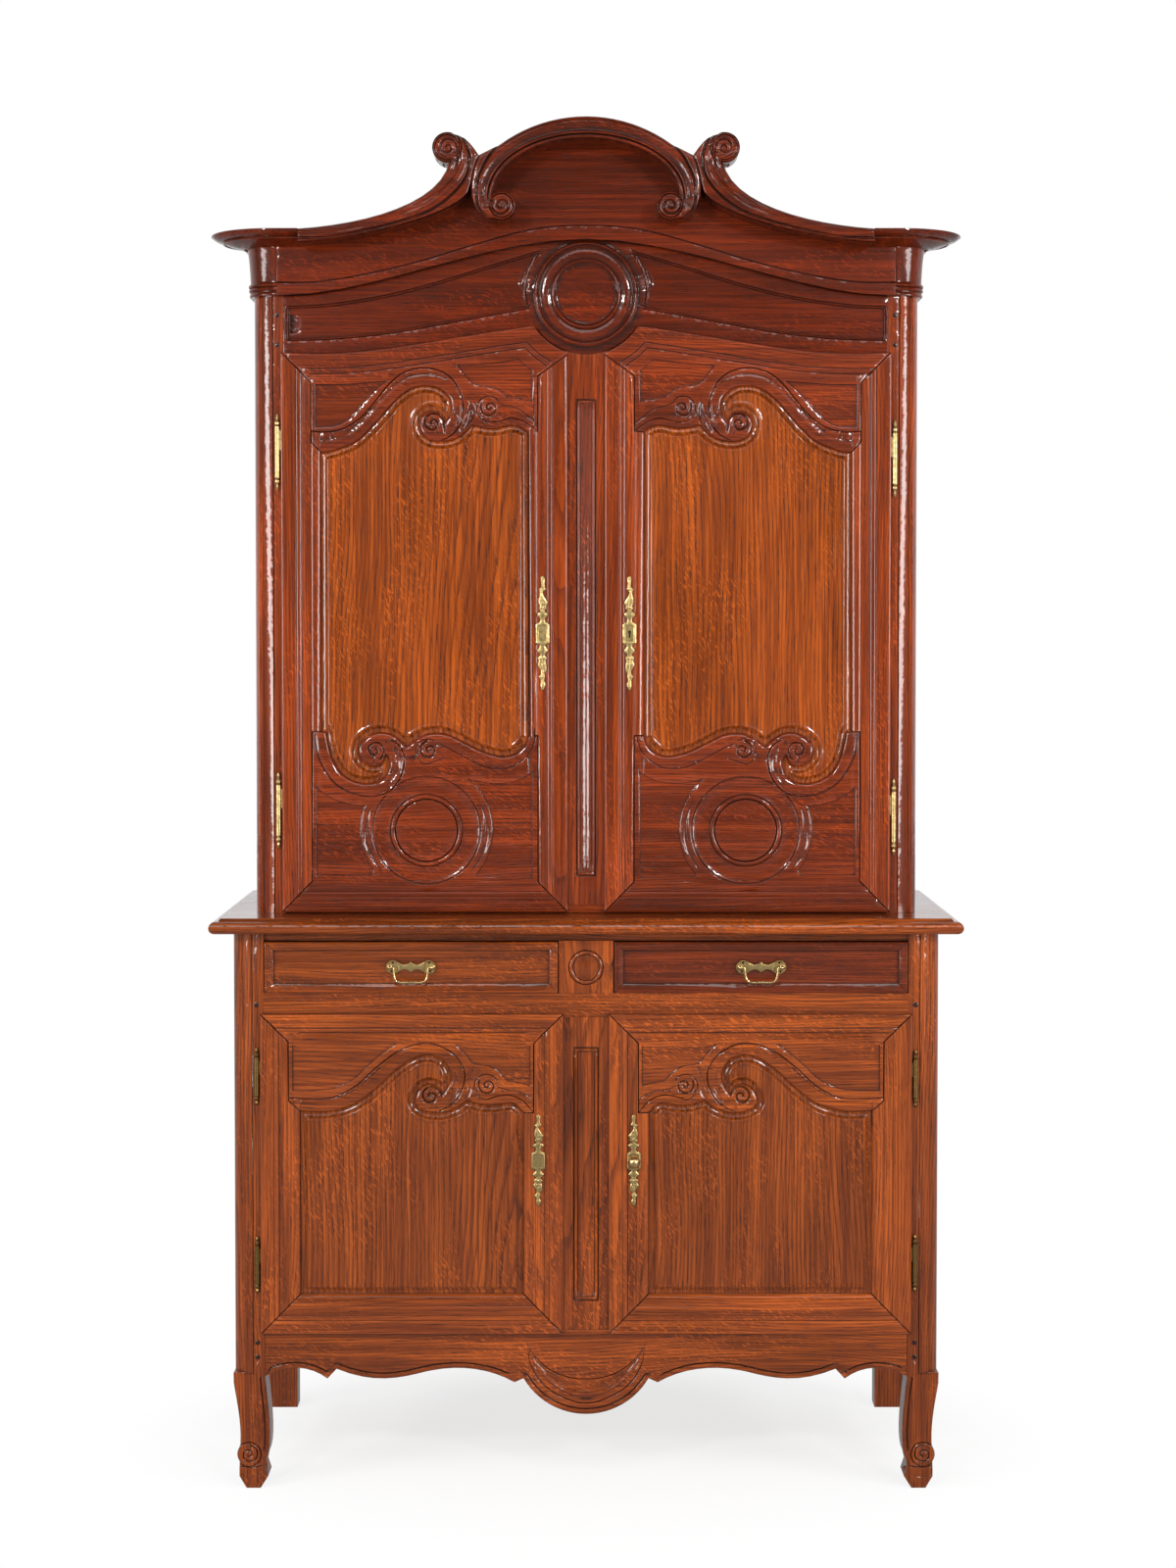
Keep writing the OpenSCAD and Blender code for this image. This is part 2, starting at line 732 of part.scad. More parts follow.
module drawer_box() {
  color(oak_inside) {
    difference() {
      union() {
        drawer_sides(0);
        box(drawer_x0 + side_in + drawer_side_t, drawer_x1 - side_in - drawer_side_t,
          side_y + drawer_l - drawer_side_t, side_y + drawer_l, drawer_z + 4, drawer_top - 12);
      }
      drawer_bottom(joint_gap);
    }
    drawer_bottom(0);
  }
}
boss_y = front_y + field_deep - plate_t - 8;
module pull_plate(x_mid) {
  y = front_y + field_deep;
  half = boss_gap / 2;
  color(brass) translate([x_mid, 0, 0]) difference() {
    union() {
      plate(y - plate_t, plate_t) translate([0, drawer_mid_z]) {
        polygon([
          [-half, -boss_r], [0, -boss_r - 4], [half, -boss_r], [half, boss_r], [0, boss_r + 4], [-half, boss_r]
        ]);
        for (x = [-half, half]) translate([x, 0]) circle(boss_r + 2);
      }
      for (x = [-half, half]) {
        rod_y(x, drawer_mid_z, boss_y, y, boss_r);
        translate([x, boss_y, drawer_mid_z]) sphere(boss_r);
      }
    }
    rod_x(-half - 2 * boss_r, half + 2 * boss_r, boss_y, drawer_mid_z, bail_r + pin_gap);
  }
}
bail_bend = 9;
module bail(x_mid) {
  half = boss_gap / 2 - boss_r - bail_r - bail_gap;
  drop = bail_drop - bail_bend;
  color(brass) translate([x_mid, boss_y, drawer_mid_z]) {
    for (s = [0, 1]) mirror([s, 0, 0]) {
      rod_x(-boss_gap / 2 - 4, -half, 0, 0, bail_r);
      translate([-half, 0, 0]) sphere(bail_r);
      translate([-half, 0, -drop]) cylinder(h = drop, r = bail_r);
      translate([-half + bail_bend, 0, -drop]) rotate([90, 0, 0]) rotate([0, 0, 180])
        rotate_extrude(angle = 90) translate([bail_bend, 0]) circle(bail_r);
    }
    rod_x(-half + bail_bend, half - bail_bend, 0, -bail_drop, bail_r);
  }
}
module left_drawer_front() {
  drawer_front();
}
module right_drawer_front() {
  mirror([1, 0, 0]) drawer_front();
}
module left_drawer_box() {
  drawer_box();
}
module right_drawer_box() {
  mirror([1, 0, 0]) drawer_box();
}
module left_pull_plate() {
  pull_plate(drawer_mid);
}
module right_pull_plate() {
  pull_plate(-drawer_mid);
}
module left_bail() {
  bail(drawer_mid);
}
module right_bail() {
  bail(-drawer_mid);
}

// Doors, drawn on the left: a lip in front, a body behind and a window that the panel fills
panel_back = 8;
rail_tenon_in = 5;
low_split = [-low_out + stile_w, -low_in - stile_w];
up_split = [-up_out + stile_w, -up_in - stile_w];
low_door_tenons = [[lower_door_z + 15, lower_door_z + lower_rail_h - 15], [low_top - 160, low_top - 15]];
// Height of the lower volute's middle over an upper door's lower edge
up_volute_up = 300;
up_door_tenons = [[up_door_z + 20, up_door_z + up_volute_up - 90], [up_door_top - 130, up_door_top - 20]];
// Joints between stiles and rails: a thin gap that goes round a tenon at each end of each rail
module door_joints(front, split, spans, z0, z1) {
  y = front + rail_tenon_in;
  for (side = [[split[0], -1], [split[1], 1]]) {
    x = side[0];
    far = side[1] * tenon_l;
    g = joint_gap / 2;
    difference() {
      union() {
        box(x - g, x + g, front - lip_t - cut, front + body_t + cut, z0, z1);
        for (s = spans)
          box(x + min(far - g, -g), x + max(far + g, g), y - g, y + tenon_t + g, s[0] - g, s[1] + g);
      }
      for (s = spans)
        box(x + min(far, -cut), x + max(far, cut), y, y + tenon_t, s[0], s[1]);
    }
  }
}
module door_frame(front, split, spans, z0, z1) {
  y = front + panel_back;
  difference() {
    union() {
      plate(front - lip_t, lip_t - seat_gap) children(0);
      plate(front - seat_gap, body_t + seat_gap) children(1);
    }
    plate(front - lip_t - cut, lip_t + body_t + 2 * cut) children(2);
    plate(y - joint_gap, tongue_t + 2 * joint_gap) grown(joint_gap) grown(tongue_l) children(2);
    door_joints(front, split, spans, z0, z1);
  }
}
// Panel: a field that fills the window and a tongue round it in the frame's groove
module door_panel(front) {
  y = front + panel_back;
  plate(y + tongue_t - panel_t, panel_t)
    intersection_for(d = [[joint_gap, 0], [-joint_gap, 0], [0, joint_gap], [0, -joint_gap]])
      translate(d) children();
  plate(y, tongue_t) grown(tongue_l) children();
}

// Window of a lower door: straight below, shaped above with a volute that curls inwards
low_edge = lower_door_z + lower_rail_h;
function low_window() =
  let (a = low_split[0], b = low_split[1], x = (a + b) / 2 + 37, z = low_top - 147)
    concat(
      [[b, low_edge], [a, low_edge]],
      curve([a, z - 31], [a + 95, z - 31], [x - 98, z + 71], [x - 8, z + 71]),
      arc(x - 6, z + 35, 36, 80, -25, 6),
      arc(x, z, 20, 15, 235, 8),
      curve([x - 4, z - 31], [x + 22, z - 33], [x + 50, z - 24], [x + 66, z - 10], 5),
      curve([x + 80, z - 17], [x + 105, z - 19], [x + 125, z - 19], [x + 146, z - 14], 4),
      [[b, z - 33]]
    );
// Window of an upper door: shaped below and above
function up_window() =
  let (a = up_split[0], b = up_split[1], x = (a + b) / 2 + 16, z = up_door_top - 130,
    lx = a + stile_w + 24, lz = up_door_z + up_volute_up)
    concat(
      curve([b, lz + 26], [b - 20, lz - 20], [b - 85, lz - 16], [lx + 158, lz + 18], 6),
      curve([lx + 140, lz + 28], [lx + 125, lz + 36], [lx + 80, lz + 36], [lx + 58, lz + 6], 5),
      curve([lx + 46, lz + 24], [lx + 28, lz + 31], [lx + 14, lz + 31], [lx, lz + 31], 4),
      arc(lx, lz, 31, 100, 300, 8),
      curve([lx + 24, lz - 31], [lx + 8, lz - 70], [a + 12, lz - 80], [a + 8, lz + 27], 8),
      [[a, lz + 33]],
      curve([a, z - 54], [a + 89, z - 54], [x - 98, z + 68], [x - 13, z + 68]),
      arc(x - 8, z + 29, 39, 90, -25, 6),
      arc(x, z, 23, 25, 240, 8),
      curve([x - 6, z - 30], [x + 8, z - 40], [x + 42, z - 36], [x + 70, z - 4], 5),
      curve([x + 92, z - 16], [x + 122, z - 14], [x + 130, z - 4], [x + 144, z - 4], 4),
      [[b, z - 17]]
    );
module low_lip() {
  translate([-low_out, lower_door_z]) square([low_out - low_in, low_top - lower_door_z]);
}
module low_body() {
  x0 = -low_open + door_gap;
  x1 = -lower_mullion_half - door_gap;
  z0 = apron_top + door_gap;
  translate([x0, z0]) square([x1 - x0, rail_under_z - door_gap - z0]);
}
// Top edge of an upper door, lowered by drop; the frieze's lower edge is the same curve
peak_x = 90;
door_rise = 50;
function up_top(drop) = curve([-up_out, up_door_top - drop], [-up_out + 163, up_door_top - 11 - drop],
  [-up_out + 263, up_door_top + 22 - drop], [-peak_x, up_door_top + door_rise - drop]);
module under_top(z0, drop) {
  top = up_top(drop);
  polygon(concat([[-up_out - cut, z0], [-up_out - cut, top[0][1]]], top,
    [[0, top[len(top) - 1][1]], [0, z0]]));
}
module up_field(x0, x1, z0, drop, r) {
  difference() {
    intersection() {
      under_top(z0, drop);
      translate([-x0, z0]) square([x0 - x1, upper_door_h + door_rise + cut]);
    }
    translate([0, medallion_z]) circle(r);
  }
}
module up_lip() {
  up_field(up_out, up_in, up_door_z, 0, medallion_r + door_gap);
}
module up_body() {
  up_field(up_open - door_gap, upper_mullion_half + door_gap, up_floor_top + door_gap, lip_over + door_gap,
    medallion_r + door_gap);
}
module low_door_frame(hinges) {
  color(oak) difference() {
    door_frame(low_y, low_split, low_door_tenons, lower_door_z - cut, low_top + cut) {
      low_lip();
      low_body();
      polygon(low_window());
    }
    for (z = hinges) door_leaf(low_axis, low_y, z, lower_barrel, joint_gap);
  }
}
module up_door_frame(hinges) {
  color(oak) difference() {
    door_frame(up_y, up_split, up_door_tenons, up_door_z - cut, up_door_top + door_rise + cut) {
      up_lip();
      up_body();
      polygon(up_window());
    }
    for (z = hinges) door_leaf(up_axis, up_y, z, upper_barrel, joint_gap);
  }
}
module lower_left_door_frame() {
  low_door_frame(lower_left_hinges);
}
module lower_right_door_frame() {
  difference() {
    mirror([1, 0, 0]) low_door_frame(lower_right_hinges);
    rod_y(lower_plate_x, lower_plate_z, low_y - lip_t - cut, low_y + body_t + cut, shaft_r + pin_gap);
  }
}
module upper_left_door_frame() {
  up_door_frame([for (h = upper_left_hinges) table_z + h]);
}
module upper_right_door_frame() {
  difference() {
    mirror([1, 0, 0]) up_door_frame([for (h = upper_right_hinges) table_z + h]);
    keyhole(up_y - lip_t - cut, up_y + body_t + cut);
  }
}
module low_door_panel() {
  color(oak) door_panel(low_y) polygon(low_window());
}
module up_door_panel() {
  color(oak) door_panel(up_y) polygon(up_window());
}
module lower_left_door_panel() {
  low_door_panel();
}
module lower_right_door_panel() {
  mirror([1, 0, 0]) low_door_panel();
}
module upper_left_door_panel() {
  up_door_panel();
}
module upper_right_door_panel() {
  mirror([1, 0, 0]) up_door_panel();
}
module lower_left_door_hinges() {
  color(brass) for (z = lower_left_hinges) hinge_door_half(low_axis, low_y, z, lower_barrel, lower_finial);
}
module lower_right_door_hinges() {
  color(brass) mirror([1, 0, 0])
    for (z = lower_right_hinges) hinge_door_half(low_axis, low_y, z, lower_barrel, lower_finial);
}
module upper_left_door_hinges() {
  color(brass)
    for (h = upper_left_hinges) hinge_door_half(up_axis, up_y, table_z + h, upper_barrel, upper_finial);
}
module upper_right_door_hinges() {
  color(brass) mirror([1, 0, 0])
    for (h = upper_right_hinges) hinge_door_half(up_axis, up_y, table_z + h, upper_barrel, upper_finial);
}

// Escutcheons: a block with a chain of round leaves above and below
module escutcheon(x, z, front, h) {
  k = h / 212;
  color(brass) plate(front - lip_t - plate_t, plate_t) translate([x, z]) {
    translate([-13 * k, -22 * k]) square([26 * k, 44 * k]);
    for (s = [-1, 1]) {
      translate([-2.5 * k, s > 0 ? 0 : -102 * k]) square([5 * k, 102 * k]);
      for (c = [[30, 10], [48, 6.5], [64, 9], [82, 5], [94, 6.5], [102, 4]])
        translate([0, s * c[0] * k]) circle(c[1] * k);
    }
  }
}
module keyhole(y0, y1) {
  z = table_z + upper_plate_up;
  rod_y(upper_plate_x, z + 3, y0, y1, 3);
  box(upper_plate_x - 1.5, upper_plate_x + 1.5, y0, y1, z - 8, z + 3);
}
module lower_left_escutcheon() {
  escutcheon(-lower_plate_x, lower_plate_z, low_y, lower_plate_h);
}
module lower_right_escutcheon() {
  difference() {
    escutcheon(lower_plate_x, lower_plate_z, low_y, lower_plate_h);
    rod_y(lower_plate_x, lower_plate_z, low_y - lip_t - 2 * cut - plate_t, low_y, shaft_r + pin_gap);
  }
}
module upper_left_escutcheon() {
  escutcheon(-upper_plate_x, table_z + upper_plate_up, up_y, upper_plate_h);
}
module upper_right_escutcheon() {
  difference() {
    escutcheon(upper_plate_x, table_z + upper_plate_up, up_y, upper_plate_h);
    keyhole(up_y - lip_t - plate_t - cut, up_y - lip_t + cut);
  }
}
// Ball knob on a shaft through the stile, with a latch tongue behind the door
tongue_bar = [14, 3, 52];
module latch_knob() {
  face = low_y - lip_t - plate_t;
  tail = low_y + mullion_t + 0.7;
  color(brass) translate([lower_plate_x, 0, lower_plate_z]) {
    translate([0, face - knob_neck - knob_r, 0]) sphere(knob_r);
    rod_y(0, 0, face - knob_neck - knob_r, tail + tongue_bar[1], shaft_r);
    rod_y(0, 0, face - knob_neck, face - seat_gap, shaft_r + 2);
    box(-tongue_bar[0] / 2, tongue_bar[0] / 2, tail, tail + tongue_bar[1], -tongue_bar[2], tongue_bar[0] / 2);
  }
}
// Lock on the back of the upper right door, with a bolt that slides behind the mullion
lock_x = [upper_mullion_half + 3, upper_mullion_half + 63];
lock_half = 33;
lock_t = 16;
bolt_half = 7;
bolt_y = 4;
bolt_t = 7;
module lock_case() {
  y = up_y + body_t;
  z = table_z + upper_plate_up;
  color(brass) difference() {
    box(lock_x[0], lock_x[1], y, y + lock_t, z - lock_half, z + lock_half);
    box(lock_x[0] - cut, lock_x[1] - 4, y + bolt_y - seat_gap, y + bolt_y + bolt_t + seat_gap,
      z - bolt_half - seat_gap, z + bolt_half + seat_gap);
    keyhole(y - cut, y + bolt_y);
  }
}
module lock_bolt() {
  y = up_y + body_t + bolt_y;
  z = table_z + upper_plate_up;
  color(brass) box(lock_x[0], lock_x[1] - 18, y, y + bolt_t, z - bolt_half, z + bolt_half);
}

// Upper case
module dowel_holes() {
  for (y = [up_y + post_d / 2, rear_y + rear_d / 2])
    translate([-up_half + 34, y, table_z - cut]) cylinder(h = dowel_up + 2 * cut, r = dowel_r + pin_gap);
}
module upper_front_post(hinges) {
  color(oak) difference() {
    translate([0, 0, up_z]) linear_extrude(post_top - up_z) post_section(up_half, up_y);
    front_tenons(up_tenons, up_open, joint_gap);
    side_tenons(up_half, up_y, up_spans, joint_gap);
    side_panel(up_half, up_y, up_panels, joint_gap);
    pegs(up_open, up_y, up_peg_heights, joint_gap);
    for (h = hinges) post_leaf(up_axis, up_y, table_z + h, upper_barrel, joint_gap);
    dowel_holes();
  }
}
module upper_front_left_post() {
  upper_front_post(upper_left_hinges);
}
module upper_front_right_post() {
  mirror([1, 0, 0]) upper_front_post(upper_right_hinges);
}
module upper_rear_posts() {
  color(oak) pair() difference() {
    rear_post(up_half, up_z, post_top, up_y, up_spans, up_panels);
    dowel_holes();
  }
}
module upper_rails() {
  color(oak) {
    difference() {
      union() {
        pair() side_rails(up_half, up_y, up_spans, up_panels);
        back_rails(up_half, up_spans);
      }
      upper_floor(joint_gap);
    }
    battens(up_half, up_y, [for (h = upper_shelf_up) table_z + h]);
  }
}
module upper_side_panels() {
  color(oak) pair() side_panel(up_half, up_y, up_panels, 0);
}
module upper_back_boards() {
  color(oak_inside) back_run(up_half, up_spans, back_boards, 0);
}
module upper_floor(grow) {
  housed_floor(up_half, up_open, up_y, up_y, up_floor_z, up_floor_top, grow);
}
roof_in = 20;
module upper_floor_and_roof() {
  color(oak_inside) {
    upper_floor(0);
    box(-up_half + roof_in, up_half - roof_in, corner_y + joint_gap, back_y, post_top, post_top + board_t);
    box(-corner_x + joint_gap, corner_x - joint_gap, up_y + rail_t + joint_gap, corner_y + cut, post_top,
      post_top + board_t);
  }
}
module upper_shelves() {
  color(oak_inside) for (h = upper_shelf_up) shelf(up_half, up_y, table_z + h);
}
// Frieze: lower edge over the doors, rising top edge, medallion in the middle
frieze_end = post_top;
function frieze_top(up) = curve([-up_open, frieze_end + up], [-up_open + 165, frieze_end + up],
  [-190, frieze_end + frieze_rise + up], [0, frieze_end + frieze_rise + up], 10);
module frieze_rail() {
  low = up_door_top - 20;
  color(oak) difference() {
    union() {
      plate(up_y, rail_t) {
        difference() {
          polygon(concat([[-up_open, low], [-up_open, post_top]], frieze_top(0), flipped(frieze_top(0)),
            [[up_open, post_top], [up_open, low]]));
          pair() under_top(low - cut, lip_over);
        }
        // Lobe under the medallion, between the doors
        intersection() {
          translate([0, medallion_z]) circle(medallion_r);
          translate([-medallion_r, medallion_z - medallion_r]) square([2 * medallion_r, medallion_r]);
        }
      }
      rod_y(0, medallion_z, up_y - medallion_proud, up_y + cut, medallion_r - 14);
      front_tenons(up_tenons, up_open, 0);
    }
    // Grooves of the medallion
    for (r = [[89, 86], [64, 53]]) difference() {
      rod_y(0, medallion_z, up_y - medallion_proud - cut, up_y - medallion_proud + 3, r[0]);
      rod_y(0, medallion_z, up_y - medallion_proud - 2 * cut, up_y, r[1]);
    }
    pair() pegs(up_open, up_y, up_peg_heights, joint_gap);
  }
}
module upper_mullion() {
  color(oak) difference() {
    mullion(upper_mullion_half, up_y, up_floor_top, medallion_z, upper_mullion_half - 22,
      [up_floor_top + 52, medallion_z - medallion_r - 84], upper_button_z);
    rod_y(0, medallion_z, up_y - cut, up_y + mullion_t + cut, medallion_r + joint_gap / 2);
  }
}
module upper_hinge_pins() {
  hinge_pins(up_axis, up_y, [for (h = upper_left_hinges) table_z + h],
    [for (h = upper_right_hinges) table_z + h], upper_barrel, upper_finial);
}
module upper_pegs() {
  color(oak_dark) pair() pegs(up_open, up_y, up_peg_heights, 0);
}

// Pediment: a board between the corner blocks, swan-neck scrolls and an arch in front of it
corner_in = 46;
corner_x = up_half - corner_in;
corner_y = up_y + corner_in;
ped_y = up_y - ped_proud;
over_y = up_y - cornice_over;
rim_z = post_top + cornice_h;
rim_t = 24;
arch_top = post_top + arch_h;
arch_z = arch_top - arch_r;
notch_x = 195;
notch_z = arch_top - 70;
free_x = 252;
free_z = arch_top - 56;
end_x = 154;
end_z = arch_top - 161;
arch_foot_z = arch_top - 145;
arch_in_h = 106;
joint_x = corner_x - 45;
function swan_top(drop) = curve([-joint_x, rim_z - drop], [-joint_x + 125, rim_z + 8 - drop],
  [-free_x - 10, rim_z + 46 - drop], [-free_x + 3, free_z - scroll_r + 4], 12);
function arch_top_edge(in) = arc(0, arch_z, arch_r - in, 126, 90, 10);
module pediment_board() {
  top = concat(
    [[-corner_x, rim_z - rim_t / 2]],
    swan_top(rim_t / 2),
    arc(-free_x, free_z, scroll_r - 4, 200, 60, 8),
    [[-notch_x - 5, notch_z - 5]],
    arch_top_edge(4)
  );
  color(oak) plate(ped_y, ped_t) difference() {
    polygon(concat([[-corner_x, post_top]], top, flipped(top), [[corner_x, post_top]]));
    polygon(concat([[-corner_x - cut, post_top - cut], [-corner_x - cut, post_top]], frieze_top(joint_gap),
      flipped(frieze_top(joint_gap)), [[corner_x + cut, post_top], [corner_x + cut, post_top - cut]]));
  }
}
module swan_scroll() {
  polygon(concat(
    [[-joint_x, rim_z - rim_t]],
    swan_top(0),
    [[-free_x, free_z], [-free_x + 2, free_z + scroll_r - cut]],
    curve([-free_x + 8, free_z + scroll_r - 2], [-free_x + 30, free_z + 22], [-notch_x - 16, notch_z + 24],
      [-notch_x, notch_z], 5),
    curve([-notch_x - 20, notch_z - 68], [-notch_x - 55, notch_z - 111], [-joint_x + 125, rim_z - 14],
      [-joint_x + 10, rim_z - rim_t], 10)
  ));
  translate([-free_x, free_z]) circle(scroll_r);
}
module arch_moulding() {
  half = concat(
    [for (a = [90 : 10 : 180]) [arch_half * cos(a), arch_foot_z + arch_in_h * sin(a)]],
    [[-end_x - 8, end_z]],
    curve([-end_x - 8, end_z - arch_scroll_r + 2], [-notch_x - 24, notch_z - 118], [-notch_x - 22, notch_z - 40],
      [-notch_x, notch_z - joint_gap]),
    arch_top_edge(0)
  );
  polygon(concat(half, flipped(half)));
  pair() translate([-end_x, end_z]) circle(arch_scroll_r);
}
module pediment_scrolls() {
  t = cornice_over - ped_proud;
  color(oak) {
    plate(over_y, t) pair() difference() {
      swan_scroll();
      grown(joint_gap) arch_moulding();
    }
    plate(over_y, t) arch_moulding();
  }
}
// Cornice profile as distance from the corner's centre and height over the upper posts
function cornice_profile(inner) = [
  [inner, 0], [corner_in + 10, 0], [corner_in + 10, 5], [corner_in + 8, 10], [corner_in + 12, 14],
  [corner_in + 12, 21], [corner_in + 8, 26], [corner_in + 14, cornice_h - 24], [corner_in + 30, cornice_h - 22],
  [corner_in + 56, cornice_h - 14], [corner_in + cornice_over - 4, cornice_h - 8],
  [corner_in + cornice_over, cornice_h - 4], [corner_in + cornice_over - 4, cornice_h], [inner, cornice_h]
];
module cornice_ends() {
  color(oak) pair() {
    translate([-corner_x, corner_y, post_top]) {
      rotate([0, 0, 180]) rotate_extrude(angle = 90) polygon(cornice_profile(0));
      // Run along the side
      translate([0, back_y - corner_y, 0]) mirror([1, 0, 0]) rotate([90, 0, 0])
        linear_extrude(back_y - corner_y - joint_gap)
        polygon(cornice_profile(corner_in - roof_in + joint_gap));
      // Short run over the front, up to the joint with the scroll moulding
      rotate([90, 0, 90]) linear_extrude(corner_x - joint_x - joint_gap) polygon([
        [-corner_in - ped_proud, cornice_h - rim_t], [-corner_in - 30, cornice_h - 22],
        [-corner_in - 56, cornice_h - 14], [-corner_in - cornice_over + 4, cornice_h - 8],
        [-corner_in - cornice_over, cornice_h - 4], [-corner_in - cornice_over + 4, cornice_h],
        [-corner_in - ped_proud, cornice_h]
      ]);
    }
  }
}

lower_front_left_post();
lower_front_right_post();
lower_rear_posts();
lower_rails();
lower_side_panels();
lower_back_boards();
lower_floor_and_shelf();
drawer_rails();
drawer_divider();
drawer_runners();
lower_mullion();
apron_rail();
lower_top();
lower_hinge_pins();
lower_pegs();
locating_dowels();
lower_turn_button();
left_drawer_front();
left_drawer_box();
left_pull_plate();
left_bail();
right_drawer_front();
right_drawer_box();
right_pull_plate();
right_bail();
lower_left_door_frame();
lower_left_door_panel();
lower_left_door_hinges();
lower_left_escutcheon();
lower_right_door_frame();
lower_right_door_panel();
lower_right_door_hinges();
lower_right_escutcheon();
latch_knob();
upper_front_left_post();
upper_front_right_post();
upper_rear_posts();
upper_rails();
upper_side_panels();
upper_back_boards();
upper_floor_and_roof();
upper_shelves();
frieze_rail();
upper_mullion();
pediment_board();
pediment_scrolls();
cornice_ends();
upper_hinge_pins();
upper_pegs();
upper_turn_button();
upper_left_door_frame();
upper_left_door_panel();
upper_left_door_hinges();
upper_left_escutcheon();
upper_right_door_frame();
upper_right_door_panel();
upper_right_door_hinges();
upper_right_escutcheon();
lock_case();
lock_bolt();
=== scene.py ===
"""Two-part carved oak buffet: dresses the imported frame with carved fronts, mouldings, brass fittings and waxed oak."""
import logging
import math
from dataclasses import dataclass, field, replace
from enum import Enum
from typing import Callable, Sequence

import bmesh
import bpy
import numpy as np
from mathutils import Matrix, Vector
from mathutils.geometry import delaunay_2d_cdt
from mathutils.kdtree import KDTree


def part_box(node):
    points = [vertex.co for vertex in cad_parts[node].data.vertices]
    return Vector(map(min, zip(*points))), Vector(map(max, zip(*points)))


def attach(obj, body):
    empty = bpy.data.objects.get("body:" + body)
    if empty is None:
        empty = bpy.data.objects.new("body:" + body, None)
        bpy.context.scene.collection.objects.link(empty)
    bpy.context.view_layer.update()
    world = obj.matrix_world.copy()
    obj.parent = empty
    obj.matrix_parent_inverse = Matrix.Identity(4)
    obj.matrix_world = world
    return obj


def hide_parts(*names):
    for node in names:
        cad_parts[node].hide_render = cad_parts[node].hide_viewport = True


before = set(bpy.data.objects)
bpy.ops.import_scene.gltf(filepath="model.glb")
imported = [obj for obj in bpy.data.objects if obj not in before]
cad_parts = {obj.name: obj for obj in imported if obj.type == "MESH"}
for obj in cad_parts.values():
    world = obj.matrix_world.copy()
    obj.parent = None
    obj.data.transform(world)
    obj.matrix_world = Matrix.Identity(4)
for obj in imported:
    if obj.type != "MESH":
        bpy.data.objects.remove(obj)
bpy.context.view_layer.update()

log = logging.getLogger("buffet")
Array = np.ndarray
Line = list[tuple[float, float]]
Profile = list[tuple[float, float]]
MM = 0.001

# Planes of the two fronts and the depth of the doors' carving, in millimetres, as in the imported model
LOW_Y = -276.0
UP_Y = -199.0
LIP = 10.0
# Rails behind this plane, in metres, run across
REAR_RAIL_Y = 0.27


# ---------------------------------------------------------------- finishes
class Grain(Enum):
    """Direction of the oak's fibres; flanks are upright boards seen from the side."""

    UPRIGHT = "upright"
    ACROSS = "across"
    DEEP = "deep"
    FLANK = "flank"
    RAILS = "rails"


def linear(red: int, green: int, blue: int) -> tuple[float, float, float, float]:
    """Turns a colour as seen on a screen into the shader's linear values."""
    return tuple(((c / 255 + 0.055) / 1.055) ** 2.4 if c > 10 else c / 255 / 12.92 for c in (red, green, blue)) + (1.0,)


